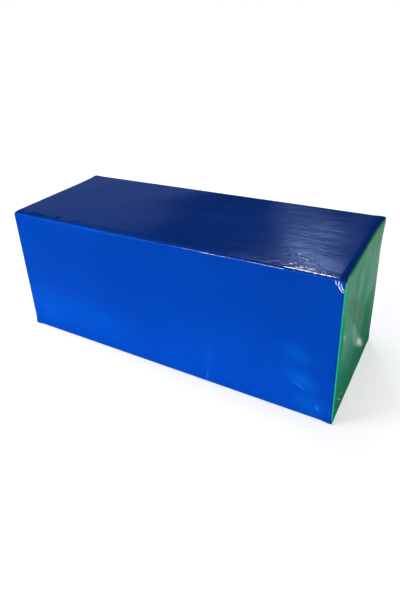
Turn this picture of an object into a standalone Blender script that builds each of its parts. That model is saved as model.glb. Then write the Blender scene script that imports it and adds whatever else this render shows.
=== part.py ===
"""Rectangular foam block for gymnastics, in a sewn cover with a zip along its back.

Three foam slabs lie on each other inside a cover of coated fabric. The cover is seven
panels, whose edges roll in at the seams, with a thread in each seam's groove. A coil zip
runs along the back near the floor, with a slider that travels and a pull that turns over.

Metres, +Z up. X runs along the block, the front is at -Y and the zip at +Y. The origin is
on the floor, under the middle of the block.
"""

import math

import bmesh
import bpy
from mathutils import Vector

# The block, measured over the middle of its faces
BLOCK_LENGTH = 1.500
BLOCK_DEPTH = 0.590
BLOCK_HEIGHT = 0.605
CROWN = 0.003
CROWN_REACH = 0.100
EDGE_RADIUS = 0.012

# The top sinks a little towards the seams at its two ends
END_DIP = 0.002
END_DIP_WIDTH = 0.028
END_DIP_DEPTH = 0.050

# The foam slabs
SLAB_NAMES = ("foam_base_slab", "foam_middle_slab", "foam_top_slab")
SLAB_GAP = 0.0003
FOAM_CHAMFER = 0.030
FOAM_CORNER_FACET = 0.005
FOAM_CROWN = 0.002

# The cover's fabric and seams
FABRIC = 0.0010
LAYER_GAP = 0.0003
SEAM_GAP = 0.0004
ROLL_RADIUS = 0.0040
SEAM_FLAP = 0.0060
CORNER_TURN = 0.0090
FLAP_CLEARANCE = 0.009
FACE_INSET = 0.030

# Stitching thread
THREAD_RADIUS = 0.00035
THREAD_DEPTH = 0.0025
THREAD_SIDES = 6

# The zip
ZIP_HEIGHT = 0.070
SLOT_CLEARANCE = 0.0010
ZIP_END_CLEARANCE = 0.003
HEM_WIDTH = 0.016
TAPE_WIDTH = 0.016
TAPE_THICKNESS = 0.0006
COIL_WIDTH = 0.0030
COIL_HEIGHT = 0.0026
COIL_SPACING = 0.0014
TOPSTITCH_INSET = 0.004
ZIP_TAB_LENGTH = 0.030
ZIP_TAB_WIDTH = 0.030
ZIP_TAB_SHOULDER = 0.004
STOP_LENGTH = 0.004
STOP_MARGIN = 0.0006
STOP_CORNER = 0.0008
GUTTER_MARGIN = 0.003
GUTTER_SLOPE = 0.005
GUTTER_STEP = 0.002

# The slider and its pull
SLIDER_LENGTH = 0.018
SLIDER_FLARE = 0.0011
SLIDER_TOP_PLATE = 0.0014
SLIDER_BACK_PLATE = 0.0012
SLIDER_FLANGE = 0.0012
SLIDER_NECK_LENGTH = 0.0045
SLIDER_CLEARANCE = 0.0003
SLIDER_FOAM_CLEARANCE = 0.0006
BRIDGE_WIDTH = 0.0022
BRIDGE_WALL = 0.0012
BRIDGE_LEG = 0.0022
EYE_RADIUS = 0.0017
PULL_LENGTH = 0.036
PULL_WIDTH = 0.0090
PULL_THICKNESS = 0.0016
PULL_HOLE = 0.0030
WINDOW_CLEARANCE = 0.0008
WINDOW_CORNER = 0.0005
MOVING_GAP = 0.0003
JOIN_OVERLAP = 0.0001

# The slider's outline, as shares of its half length and half width
WIDEST_FROM = 0.15
NOSE_LENGTH = 1 / 6
NOSE_WIDTH = 0.45
TAIL_END_WIDTH = 0.60

# How finely curved faces are cut
LONG_STEPS = 6
DEPTH_STEPS = 4
TALL_STEPS = 4
ROLL_TURNS = (0.0, 45.0, 90.0)
FACE_ROWS = (0.14, 0.36)
CORNER_SHARES = (1 / 3, 2 / 3)
SLAB_END_RINGS = (0.30, 0.65)
ARCH_STEPS = 8
HOLE_SIDES = 16
TAB_STEPS = 4
PANEL_SMOOTH = 50
PLATE_SMOOTH = 40
THREAD_SMOOTH = 80

# Worked out from the sizes above
HALF_X = BLOCK_LENGTH / 2 - CROWN
HALF_Y = BLOCK_DEPTH / 2 - CROWN
TOP_Z = BLOCK_HEIGHT - CROWN
FLAP_START = CORNER_TURN + FLAP_CLEARANCE
LINING = FABRIC + LAYER_GAP
HEM_RADIUS = FABRIC + LAYER_GAP / 2
TAPE_DEPTH = 2 * HEM_RADIUS + LAYER_GAP
CHANNEL_HALF = COIL_SPACING / 2 + COIL_WIDTH + SLIDER_CLEARANCE
TAIL_HALF = CHANNEL_HALF + SLIDER_FLANGE
SLIDER_HALF = TAIL_HALF + SLIDER_FLARE
ZIP_SLOT = 2 * (SLIDER_HALF + SLOT_CLEARANCE)
COIL_TOP = TAPE_DEPTH - LAYER_GAP - COIL_HEIGHT
ZIP_LOW = ZIP_HEIGHT - ZIP_SLOT / 2
ZIP_HIGH = ZIP_HEIGHT + ZIP_SLOT / 2
ZIP_HALF = HALF_X - EDGE_RADIUS - ZIP_END_CLEARANCE
GUTTER_HALF = ZIP_SLOT / 2 + HEM_RADIUS + HEM_WIDTH + GUTTER_MARGIN
STOP_X = ZIP_HALF - ZIP_TAB_LENGTH - STOP_LENGTH
COIL_HALF = STOP_X - STOP_LENGTH / 2 - LAYER_GAP
PLATE_INNER = COIL_TOP - SLIDER_CLEARANCE
PLATE_OUTER = PLATE_INNER - SLIDER_TOP_PLATE
BACK_INNER = TAPE_DEPTH + TAPE_THICKNESS + SLIDER_CLEARANCE
BACK_OUTER = BACK_INNER + SLIDER_BACK_PLATE
PULL_AXIS_DEPTH = PLATE_OUTER - MOVING_GAP - PULL_THICKNESS / 2
SLIDER_HOME_X = COIL_HALF - SLIDER_LENGTH / 2 - MOVING_GAP

COLOURS = {
    "foam": ((0.80, 0.74, 0.52), 0.95, 0.0),
    "blue_fabric": ((0.004, 0.075, 0.50), 0.42, 0.0),
    "navy_fabric": ((0.004, 0.030, 0.17), 0.40, 0.0),
    "green_fabric": ((0.02, 0.42, 0.20), 0.42, 0.0),
    "blue_thread": ((0.003, 0.030, 0.22), 0.70, 0.0),
    "green_thread": ((0.02, 0.30, 0.15), 0.70, 0.0),
    "zip_tape": ((0.004, 0.020, 0.12), 0.80, 0.0),
    "zip_coil": ((0.006, 0.025, 0.14), 0.35, 0.0),
    "zip_metal": ((0.46, 0.46, 0.45), 0.30, 1.0),
}


def clear_scene():
    for thing in list(bpy.data.objects):
        bpy.data.objects.remove(thing, do_unlink=True)


def material(name, finish):
    """A material of a sub-part's own, in one of the finishes above."""
    colour, roughness, metallic = COLOURS[finish]
    made = bpy.data.materials.new(name)
    made.use_nodes = True
    shader = made.node_tree.nodes["Principled BSDF"]
    shader.inputs["Base Color"].default_value = (*colour, 1.0)
    shader.inputs["Roughness"].default_value = roughness
    shader.inputs["Metallic"].default_value = metallic
    made.diffuse_color = (*colour, 1.0)
    return made


def add_object(name, points, faces, finish, smooth=None):
    """A closed mesh as a named object; smooth is the angle under which its edges are rounded."""
    mesh = bpy.data.meshes.new(name)
    mesh.from_pydata([tuple(p) for p in points], [], faces)
    work = bmesh.new()
    work.from_mesh(mesh)
    bmesh.ops.recalc_face_normals(work, faces=work.faces)
    if work.calc_volume(signed=True) < 0:
        bmesh.ops.reverse_faces(work, faces=work.faces)
    work.to_mesh(mesh)
    work.free()
    if smooth is not None:
        mesh.shade_smooth()
        mesh.set_sharp_from_angle(angle=math.radians(smooth))
    made = bpy.data.objects.new(name, mesh)
    made.data.materials.append(material(name, finish))
    bpy.context.scene.collection.objects.link(made)
    return made


# The cover's surface

def swell(share):
    """How much of the crown shows at a share, from -1 to 1, of the way between two edges."""
    return max(0.0, 1.0 - share**4)


def crowned(point, crown=CROWN):
    """A point of the flat-sided block, moved out with the crown of the faces near it."""
    along = swell(point.x / HALF_X)
    across = swell(point.y / HALF_Y)
    upward = swell(2 * point.z / TOP_Z - 1)
    zip_top = ZIP_HEIGHT + GUTTER_HALF + GUTTER_SLOPE
    above_zip = 0.0
    if point.z > zip_top:
        above_zip = swell(2 * (point.z - zip_top) / (TOP_Z - zip_top) - 1)

    def near(distance):
        return max(0.0, 1.0 - max(0.0, distance) / CROWN_REACH)

    dip = max(0.0, 1.0 - (HALF_X - abs(point.x)) / END_DIP_WIDTH) ** 2
    dip *= max(0.0, 1.0 - (TOP_Z - point.z) / END_DIP_DEPTH)
    moved = point.copy()
    moved.z += crown * along * across * near(TOP_Z - point.z) - END_DIP * dip
    moved.x += crown * across * upward * near(HALF_X - point.x)
    moved.x -= crown * across * upward * near(HALF_X + point.x)
    moved.y -= crown * along * upward * near(HALF_Y + point.y)
    moved.y += crown * along * above_zip * near(HALF_Y - point.y)
    return moved


def on_cover(spot):
    """The rounded block's point and normal for a spot on the sharp-edged block."""
    r = EDGE_RADIUS
    core = Vector((
        min(max(spot.x, r - HALF_X), HALF_X - r),
        min(max(spot.y, r - HALF_Y), HALF_Y - r),
        min(max(spot.z, r), TOP_Z - r),
    ))
    lean = spot - core
    normal = Vector([math.tan(math.pi / 4 * part / r) for part in lean]).normalized()
    return core + normal * r, normal


def place(spot, inward, along, depth):
    """A point so far along the cover from a seam's spot, and so deep under its surface."""
    probe = 0.0005
    start = on_cover(spot)[0]
    scale = (on_cover(spot + inward * probe)[0] - start).length / probe
    point, normal = on_cover(spot + inward * (along / scale))
    return crowned(point - normal * depth)


# Seams, as rows of stops that the panels and threads on both sides share

class Stop:
    """A spot on a seam, the way into the panel beside it, and the face node it belongs to."""

    def __init__(self, spot, inward, node=0, roll=ROLL_RADIUS):
        self.spot = Vector(spot)
        self.inward = Vector(inward).normalized()
        self.node = node
        self.roll = roll


def evenly(start, end, steps):
    return [start + (end - start) * i / steps for i in range(1, steps)]


def run(start, end, steps):
    """(place, node) along a straight seam, its corners and flaps' ends included."""
    inner = [(at, i + 1) for i, at in enumerate(evenly(start, end, steps))]
    return [
        (start + CORNER_TURN, 0), (start + FLAP_START, 0), *inner,
        (end - FLAP_START, steps), (end - CORNER_TURN, steps),
    ]


def along_seam(side, height, inward):
    """A seam along the block's front (side -1) or rear (1), from left to right."""
    return [
        Stop((at, side * HALF_Y, height), inward, node)
        for at, node in run(-HALF_X, HALF_X, LONG_STEPS)
    ]


def across_seam(end, height, inward):
    """A seam across the left end (-1) or the right one (1), from front to rear."""
    return [
        Stop((end * HALF_X, at, height), inward, node)
        for at, node in run(-HALF_Y, HALF_Y, DEPTH_STEPS)
    ]


def upright_heights(side, part):
    """(height, node) up a corner seam; the rear ones are in two parts, under and over the zip."""
    whole = run(0.0, TOP_Z, TALL_STEPS)
    if side < 0:
        return whole
    if part == "low":
        return [
            (CORNER_TURN, 0), (FLAP_START, 0),
            (ZIP_LOW - FLAP_START, 0), (ZIP_LOW - CORNER_TURN, 0),
        ]
    above = [(at, node) for at, node in whole[2:] if at > ZIP_HIGH + FLAP_START]
    return [(ZIP_HIGH + CORNER_TURN, 0), (ZIP_HIGH + FLAP_START, 0), *above]


def upright_seam(end, side, for_end, part="whole"):
    """A corner seam from the base up, seen from the end panel or from the long side's one."""
    inward = (0, -side, 0) if for_end else (-end, 0, 0)
    return [
        Stop((end * HALF_X, side * HALF_Y, at), inward, node)
        for at, node in upright_heights(side, part)
    ]


def zip_edge(upper):
    """The folded edge of a rear panel beside the zip, from left to right."""
    height, way = (ZIP_HIGH, 1) if upper else (ZIP_LOW, -1)
    return [
        Stop((at, HALF_Y, height), (0, 0, way), node, HEM_RADIUS)
        for at, node in run(-HALF_X, HALF_X, LONG_STEPS)
    ]


def turned(before, after, corner):
    """The stops of a small rounded corner between two seams that meet at a point."""
    corner = Vector(corner)
    made = []
    for share in CORNER_SHARES:
        spot = (
            before.spot * (1 - share) ** 2
            + corner * 2 * share * (1 - share)
            + after.spot * share**2
        )
        way = before.inward.lerp(after.inward, share)
        made.append(Stop(spot, way, 0, before.roll + (after.roll - before.roll) * share))
    return made


class Border:
    """A panel's edge: its stops in order, their face nodes, and the runs that have flaps."""

    def __init__(self):
        self.stops = []
        self.nodes = []
        self.flaps = []

    def add(self, stops, node, flap=None):
        """Adds a seam; node turns a stop's own number into the face's node."""
        first = len(self.stops)
        for stop in stops:
            self.stops.append(stop)
            self.nodes.append(node(stop.node))
        if flap:
            self.flaps.append((first + 1, len(self.stops) - 2, flap))

    def corner(self, after, point, node):
        self.add(turned(self.stops[-1], after, point), lambda _: node)


def build_panel(name, finish, border, face):
    """A shell of fabric: rolled edges, seam flaps, and a face whose nodes face(i, j) gives."""
    columns = max(node[0] for node in border.nodes)
    rows = max(node[1] for node in border.nodes)
    count = len(border.stops)
    points = []
    faces = []
    rings = {}
    nets = {}

    def add(point):
        points.append(point)
        return len(points) - 1

    for layer in (0, 1):
        sunk = layer * FABRIC
        rings[layer] = []
        for turn in ROLL_TURNS:
            angle = math.radians(turn)
            ring = []
            for stop in border.stops:
                radius = stop.roll - sunk
                along = SEAM_GAP / 2 + stop.roll - radius * math.cos(angle)
                depth = stop.roll - radius * math.sin(angle)
                ring.append(add(place(stop.spot, stop.inward, along, depth)))
            rings[layer].append(ring)
        for share in FACE_ROWS:
            ring = []
            for stop, node in zip(border.stops, border.nodes):
                start = stop.spot + stop.inward * (SEAM_GAP / 2 + stop.roll)
                point, normal = on_cover(start.lerp(face(*node), share))
                ring.append(add(crowned(point - normal * sunk)))
            rings[layer].append(ring)
        nets[layer] = {}
        for i in range(columns + 1):
            for j in range(rows + 1):
                point, normal = on_cover(face(i, j))
                nets[layer][i, j] = add(crowned(point - normal * sunk))

        for low, high in zip(rings[layer], rings[layer][1:]):
            for k in range(count):
                after = (k + 1) % count
                faces.append((low[k], low[after], high[after], high[k]))
        last = rings[layer][-1]
        for k in range(count):
            after = (k + 1) % count
            near = nets[layer][border.nodes[k]]
            far = nets[layer][border.nodes[after]]
            strip = (last[k], last[after], far) + ((near,) if near != far else ())
            faces.append(strip)
        for i in range(columns):
            for j in range(rows):
                net = nets[layer]
                faces.append((net[i, j], net[i + 1, j], net[i + 1, j + 1], net[i, j + 1]))

    flapped = set()
    for first, last_stop, kind in border.flaps:
        steps = []
        for k in range(first, last_stop + 1):
            stop = border.stops[k]
            pairs = [(rings[0][0][k], rings[1][0][k])]
            for outer, inner in flap_section(stop.roll, kind):
                pairs.append((
                    add(place(stop.spot, stop.inward, *outer)),
                    add(place(stop.spot, stop.inward, *inner)),
                ))
            steps.append(pairs)
        for pairs in (steps[0], steps[-1]):
            for a, b in zip(pairs, pairs[1:]):
                faces.append((a[0], b[0], b[1], a[1]))
        for here, there in zip(steps, steps[1:]):
            for step in range(len(here) - 1):
                faces.append((here[step][0], there[step][0], there[step + 1][0], here[step + 1][0]))
                faces.append((here[step][1], there[step][1], there[step + 1][1], here[step + 1][1]))
            faces.append((here[-1][0], there[-1][0], there[-1][1], here[-1][1]))
        flapped.update(range(first, last_stop))
    for k in range(count):
        if k not in flapped:
            after = (k + 1) % count
            outer, inner = rings[0][0], rings[1][0]
            faces.append((outer[k], outer[after], inner[after], inner[k]))
    return add_object(name, points, faces, finish, smooth=PANEL_SMOOTH)


def flap_section(roll, kind):
    """(distance in from the seam, depth) of a flap's outer and inner corners, step by step."""
    start = SEAM_GAP / 2
    if kind == "seam":
        end = roll + SEAM_FLAP
        return [((start, end), (start + FABRIC, end))]
    inner = roll - FABRIC
    section = []
    for turn in (-45.0, -90.0):
        angle = math.radians(turn)
        section.append((
            (start + roll - roll * math.cos(angle), roll - roll * math.sin(angle)),
            (start + roll - inner * math.cos(angle), roll - inner * math.sin(angle)),
        ))
    far = start + roll + HEM_WIDTH
    section.append(((far, 2 * roll), (far, roll + inner)))
    return section


# The panels

def spaced(low, high, index, steps):
    return low + (high - low) * index / steps


def bordered(seams, corners, columns, rows, first_flap="seam", third_flap="seam"):
    """A border of four seams in order round the panel, and the corner after each."""
    nodes = (lambda n: (n, 0), lambda n: (columns, n), lambda n: (n, rows), lambda n: (0, n))
    flaps = (first_flap, "seam", third_flap, "seam")
    corner_nodes = ((columns, 0), (columns, rows), (0, rows), (0, 0))
    border = Border()
    for k, seam in enumerate(seams):
        border.add(seam, nodes[k], flaps[k])
        border.corner(seams[(k + 1) % len(seams)][0], corners[k], corner_nodes[k])
    return border


def level_border(height):
    """The border of the top or base panel."""
    seams = (
        along_seam(-1, height, (0, 1, 0)), across_seam(1, height, (-1, 0, 0)),
        along_seam(1, height, (0, -1, 0))[::-1], across_seam(-1, height, (1, 0, 0))[::-1],
    )
    corners = [(x * HALF_X, y * HALF_Y, height) for x, y in ((1, -1), (1, 1), (-1, 1), (-1, -1))]
    return bordered(seams, corners, LONG_STEPS, DEPTH_STEPS)


def side_corners(side, low, high):
    return [
        (x * HALF_X, side * HALF_Y, z) for x, z in ((1, low), (1, high), (-1, high), (-1, low))
    ]


def front_border():
    seams = (
        along_seam(-1, 0.0, (0, 0, 1)), upright_seam(1, -1, False),
        along_seam(-1, TOP_Z, (0, 0, -1))[::-1], upright_seam(-1, -1, False)[::-1],
    )
    return bordered(seams, side_corners(-1, 0.0, TOP_Z), LONG_STEPS, TALL_STEPS)


def rear_upper_border():
    seams = (
        zip_edge(True), upright_seam(1, 1, False, "high"),
        along_seam(1, TOP_Z, (0, 0, -1))[::-1], upright_seam(-1, 1, False, "high")[::-1],
    )
    corners = side_corners(1, ZIP_HIGH, TOP_Z)
    return bordered(seams, corners, LONG_STEPS, TALL_STEPS, first_flap="hem")


def rear_lower_border():
    seams = (
        along_seam(1, 0.0, (0, 0, 1)), upright_seam(1, 1, False, "low"),
        zip_edge(False)[::-1], upright_seam(-1, 1, False, "low")[::-1],
    )
    return bordered(seams, side_corners(1, 0.0, ZIP_LOW), LONG_STEPS, 1, third_flap="hem")


def end_border(end):
    """An end panel's border; its rear seam passes the zip's two edges without a flap."""
    low, high = (upright_seam(end, 1, True, part) for part in ("low", "high"))
    base, top = across_seam(end, 0.0, (0, 0, 1)), across_seam(end, TOP_Z, (0, 0, -1))
    front = upright_seam(end, -1, True)
    rear_x, front_x = (end * HALF_X, HALF_Y), (end * HALF_X, -HALF_Y)
    border = Border()
    border.add(base, lambda n: (n, 0), "seam")
    border.corner(low[0], (*rear_x, 0.0), (DEPTH_STEPS, 0))
    border.add(low, lambda n: (DEPTH_STEPS, n), "seam")
    zip_stops = [Stop((*rear_x, height), (0, -1, 0)) for height in (ZIP_LOW, ZIP_HIGH)]
    border.add(zip_stops, lambda n: (DEPTH_STEPS, n))
    border.add(high, lambda n: (DEPTH_STEPS, n), "seam")
    border.corner(top[-1], (*rear_x, TOP_Z), (DEPTH_STEPS, TALL_STEPS))
    border.add(top[::-1], lambda n: (n, TALL_STEPS), "seam")
    border.corner(front[-1], (*front_x, TOP_Z), (0, TALL_STEPS))
    border.add(front[::-1], lambda n: (0, n), "seam")
    border.corner(base[0], (*front_x, 0.0), (0, 0))
    return border


def build_cover():
    long_x = HALF_X - FACE_INSET
    deep_y = HALF_Y - FACE_INSET

    def level_face(height):
        return lambda i, j: Vector((
            spaced(-long_x, long_x, i, LONG_STEPS),
            spaced(-deep_y, deep_y, j, DEPTH_STEPS),
            height,
        ))

    def side_face(side, low, high, steps):
        return lambda i, j: Vector((
            spaced(-long_x, long_x, i, LONG_STEPS), side * HALF_Y, spaced(low, high, j, steps),
        ))

    def end_face(end):
        return lambda i, j: Vector((
            end * HALF_X,
            spaced(-deep_y, deep_y, i, DEPTH_STEPS),
            spaced(FACE_INSET, TOP_Z - FACE_INSET, j, TALL_STEPS),
        ))

    high_z = TOP_Z - FACE_INSET
    build_panel("cover_top_panel", "navy_fabric", level_border(TOP_Z), level_face(TOP_Z))
    build_panel("cover_base_panel", "blue_fabric", level_border(0.0), level_face(0.0))
    build_panel(
        "cover_front_panel", "blue_fabric", front_border(),
        side_face(-1, FACE_INSET, high_z, TALL_STEPS),
    )
    build_panel(
        "cover_rear_upper_panel", "blue_fabric", rear_upper_border(),
        side_face(1, ZIP_HIGH + FACE_INSET, high_z, TALL_STEPS),
    )
    build_panel(
        "cover_rear_lower_panel", "blue_fabric", rear_lower_border(),
        side_face(1, FACE_INSET, ZIP_LOW - HEM_RADIUS - HEM_WIDTH / 2, 1),
    )
    build_panel("cover_left_end_panel", "green_fabric", end_border(-1), end_face(-1))
    build_panel("cover_right_end_panel", "green_fabric", end_border(1), end_face(1))


# The threads in the seams

def thread(name, finish, stops, closed):
    """A thin tube that follows a seam at the bottom of its groove."""
    points = []
    for stop in stops:
        for side in range(THREAD_SIDES):
            angle = 2 * math.pi * side / THREAD_SIDES
            along = THREAD_RADIUS * math.cos(angle)
            depth = THREAD_DEPTH + THREAD_RADIUS * math.sin(angle)
            points.append(place(stop.spot, stop.inward, along, depth))
    count = len(stops)
    faces = []
    for k in range(count if closed else count - 1):
        after = (k + 1) % count
        for side in range(THREAD_SIDES):
            beside = (side + 1) % THREAD_SIDES
            faces.append((
                k * THREAD_SIDES + side, k * THREAD_SIDES + beside,
                after * THREAD_SIDES + beside, after * THREAD_SIDES + side,
            ))
    if not closed:
        last = (count - 1) * THREAD_SIDES
        faces.append(tuple(range(THREAD_SIDES)))
        faces.append(tuple(last + side for side in range(THREAD_SIDES)))
    add_object(name, points, faces, finish, smooth=THREAD_SMOOTH)


def build_threads():
    thread("top_seam_thread", "blue_thread", level_border(TOP_Z).stops, closed=True)
    thread("base_seam_thread", "blue_thread", level_border(0.0).stops, closed=True)
    for end, name in ((-1, "left"), (1, "right")):
        front = upright_seam(end, -1, True)
        rear_run = upright_seam(end, 1, True, "low") + upright_seam(end, 1, True, "high")
        thread(f"front_{name}_seam_thread", "green_thread", front, closed=False)
        thread(f"rear_{name}_seam_thread", "green_thread", rear_run, closed=False)


# The foam

def gutter_section(low, high):
    """(distance in from the rear face, height) round the channel that the zip presses in."""
    shallow = LINING
    middle = BACK_INNER
    deep = BACK_OUTER + SLIDER_FOAM_CLEARANCE
    plate = SLIDER_HALF + 2 * SLIDER_CLEARANCE
    outline = [
        (shallow, ZIP_HEIGHT - GUTTER_HALF - GUTTER_SLOPE),
        (middle, ZIP_HEIGHT - GUTTER_HALF),
        (middle, ZIP_HEIGHT - plate - GUTTER_STEP),
        (deep, ZIP_HEIGHT - plate),
        (deep, ZIP_HEIGHT + plate),
        (middle, ZIP_HEIGHT + plate + GUTTER_STEP),
        (middle, ZIP_HEIGHT + GUTTER_HALF),
        (shallow, ZIP_HEIGHT + GUTTER_HALF + GUTTER_SLOPE),
    ]
    return [pair for pair in outline if low < pair[1] < high]


def slab_section(low, high, chamfer_low, chamfer_high, inset):
    """A slab's outline in (depth, height) at a station, drawn in by inset on its outer sides."""
    y = HALF_Y - LINING - inset
    bottom = low + (inset if chamfer_low else 0)
    top = high - (inset if chamfer_high else 0)
    cut = FOAM_CHAMFER if inset < FOAM_CHAMFER else FOAM_CORNER_FACET
    low_cut = cut if chamfer_low else 0
    high_cut = cut if chamfer_high else 0
    middle = (low + high) / 2
    front = [(-y, top - high_cut), (-y, middle), (-y, bottom + low_cut)]
    below = [(at, bottom) for at in evenly(-y + low_cut, y - low_cut, DEPTH_STEPS)]
    above = [(at, top) for at in evenly(y - high_cut, -y + high_cut, DEPTH_STEPS)]
    channel = [
        (HALF_Y - inset - distance, height) for distance, height in gutter_section(low, high)
    ]
    rear = [(y, bottom + low_cut), *channel]
    rear += [(y, middle)] if not channel else []
    rear.append((y, top - high_cut))
    section = front
    section += [(-y + low_cut, bottom)] if low_cut else []
    section += below
    section += [(y - low_cut, bottom)] if low_cut else []
    section += rear
    section += [(y - high_cut, top)] if high_cut else []
    section += above
    section += [(-y + high_cut, top)] if high_cut else []
    return section


def build_slab(name, low, high, chamfer_low, chamfer_high):
    half = HALF_X - LINING
    inner = evenly(-(half - FOAM_CHAMFER), half - FOAM_CHAMFER, LONG_STEPS)
    stations = [(-(half - FOAM_CHAMFER), 0.0), *((x, 0.0) for x in inner)]
    stations.append((half - FOAM_CHAMFER, 0.0))

    def outline(x, inset, shrink=1.0):
        section = slab_section(low, high, chamfer_low, chamfer_high, inset)
        centre = (low + high) / 2
        return [
            crowned(Vector((x, y * shrink, centre + (z - centre) * shrink)), FOAM_CROWN)
            for y, z in section
        ]

    rings = [outline(-half, FOAM_CHAMFER, share) for share in SLAB_END_RINGS]
    rings.append(outline(-half, FOAM_CHAMFER))
    rings += [outline(x, inset) for x, inset in stations]
    rings.append(outline(half, FOAM_CHAMFER))
    rings += [outline(half, FOAM_CHAMFER, share) for share in reversed(SLAB_END_RINGS)]
    count = len(rings[0])
    points = [point for ring in rings for point in ring]
    faces = []
    for k in range(len(rings) - 1):
        for i in range(count):
            after = (i + 1) % count
            faces.append((
                k * count + i, k * count + after, (k + 1) * count + after, (k + 1) * count + i,
            ))
    last = (len(rings) - 1) * count
    faces.append(tuple(range(count)))
    faces.append(tuple(last + i for i in range(count)))
    add_object(name, points, faces, "foam")


def build_foam():
    bottom = LINING
    top = TOP_Z - LINING
    slabs = len(SLAB_NAMES)
    thickness = (top - bottom - SLAB_GAP * (slabs - 1)) / slabs
    for index, name in enumerate(SLAB_NAMES):
        low = bottom + index * (thickness + SLAB_GAP)
        build_slab(name, low, low + thickness, index == 0, index == slabs - 1)


# The zip

def box_points(x0, x1, y0, y1, z0, z1):
    return [Vector((x, y, z)) for x in (x0, x1) for y in (y0, y1) for z in (z0, z1)]


BOX_FACES = [(0, 1, 3, 2), (4, 6, 7, 5), (0, 4, 5, 1), (2, 3, 7, 6), (0, 2, 6, 4), (1, 5, 7, 3)]


def rear(depth):
    """The Y of a depth under the rear face."""
    return HALF_Y - depth


def bevel_object(made, width, segments=2):
    bevel = made.modifiers.new("rounded edges", "BEVEL")
    bevel.width = width
    bevel.segments = segments
    bevel.limit_method = "ANGLE"
    return made


def plate_object(name, outline, low, high, finish, axis="Y"):
    """A flat piece: an outline in X and Z, between two values of Y, or along another axis."""
    count = len(outline)
    points = []
    for level in (low, high):
        for a, b in outline:
            points.append(Vector((a, level, b)) if axis == "Y" else Vector((a, b, level)))
    faces = [tuple(range(count)), tuple(range(count, 2 * count))]
    for i in range(count):
        after = (i + 1) % count
        faces.append((i, after, count + after, count + i))
    return add_object(name, points, faces, finish, smooth=PLATE_SMOOTH)


def rounded_rectangle(x0, x1, z0, z1, radius, steps=4):
    outline = []
    for cx, cz, start in (
        (x1 - radius, z1 - radius, 0), (x0 + radius, z1 - radius, 90),
        (x0 + radius, z0 + radius, 180), (x1 - radius, z0 + radius, 270),
    ):
        for step in range(steps + 1):
            angle = math.radians(start + 90 * step / steps)
            outline.append((cx + radius * math.cos(angle), cz + radius * math.sin(angle)))
    return outline


def build_zip_strips():
    for name, way in (("upper", 1), ("lower", -1)):
        near = ZIP_HEIGHT + way * COIL_SPACING / 2
        far = near + way * TAPE_WIDTH
        add_object(
            f"zip_{name}_tape",
            box_points(
                -ZIP_HALF, ZIP_HALF, rear(TAPE_DEPTH + TAPE_THICKNESS), rear(TAPE_DEPTH),
                min(near, far), max(near, far),
            ),
            BOX_FACES, "zip_tape",
        )
        far = near + way * COIL_WIDTH
        coil = add_object(
            f"zip_{name}_coil",
            box_points(
                -COIL_HALF, COIL_HALF, rear(TAPE_DEPTH - LAYER_GAP), rear(COIL_TOP),
                min(near, far), max(near, far),
            ),
            BOX_FACES, "zip_coil",
        )
        bevel_object(coil, COIL_WIDTH / 4)


def build_end_tab(name, end):
    """A tab of fabric over the zip's end, which bends with the block's corner to its seam."""
    inner = ZIP_HALF - ZIP_TAB_LENGTH
    flat_end = HALF_X - EDGE_RADIUS
    outer = HALF_X - ROLL_RADIUS - LAYER_GAP
    half = ZIP_TAB_WIDTH / 2
    stations = [(inner, half - ZIP_TAB_SHOULDER), (inner + ZIP_TAB_SHOULDER, half)]
    stations += [(flat_end, half)]
    stations += [(x, half) for x in evenly(flat_end, outer, TAB_STEPS)]
    stations += [(outer, half)]
    points = []
    for x, reach in stations:
        for height in (ZIP_HEIGHT - reach, ZIP_HEIGHT + reach):
            for raised in (LAYER_GAP, LAYER_GAP + FABRIC):
                spot = Vector((end * x, HALF_Y, height))
                point, normal = on_cover(spot)
                points.append(crowned(point) + normal * raised)
    faces = [(0, 1, 3, 2)]
    for k in range(len(stations) - 1):
        at = 4 * k
        for a, b in ((0, 1), (1, 3), (3, 2), (2, 0)):
            faces.append((at + a, at + b, at + 4 + b, at + 4 + a))
    last = 4 * (len(stations) - 1)
    faces.append((last, last + 1, last + 3, last + 2))
    add_object(name, points, faces, "blue_fabric", smooth=PLATE_SMOOTH)


def build_zip_ends():
    stop_half = COIL_SPACING / 2 + COIL_WIDTH + STOP_MARGIN
    for name, end in (("left", -1), ("right", 1)):
        build_end_tab(f"zip_{name}_end_tab", end)
        middle = end * STOP_X
        stop = add_object(
            f"zip_{name}_stop",
            box_points(
                middle - STOP_LENGTH / 2, middle + STOP_LENGTH / 2,
                rear(TAPE_DEPTH - LAYER_GAP), rear(PLATE_INNER),
                ZIP_HEIGHT - stop_half, ZIP_HEIGHT + stop_half,
            ),
            BOX_FACES, "zip_metal",
        )
        bevel_object(stop, STOP_CORNER)


def build_topstitching():
    half = COIL_HALF
    depth = -LAYER_GAP - THREAD_RADIUS
    for name, way in (("upper", 1), ("lower", -1)):
        height = ZIP_HEIGHT + way * (ZIP_SLOT / 2 + TOPSTITCH_INSET)
        points = []
        for x in (-half, half):
            for side in range(THREAD_SIDES):
                angle = 2 * math.pi * side / THREAD_SIDES
                points.append(Vector((
                    x, rear(depth + THREAD_RADIUS * math.sin(angle)),
                    height + THREAD_RADIUS * math.cos(angle),
                )))
        faces = [tuple(range(THREAD_SIDES)), tuple(range(THREAD_SIDES, 2 * THREAD_SIDES))]
        for side in range(THREAD_SIDES):
            beside = (side + 1) % THREAD_SIDES
            faces.append((side, beside, THREAD_SIDES + beside, THREAD_SIDES + side))
        add_object(f"zip_{name}_topstitch", points, faces, "blue_thread", smooth=THREAD_SMOOTH)


# The slider and its pull

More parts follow.
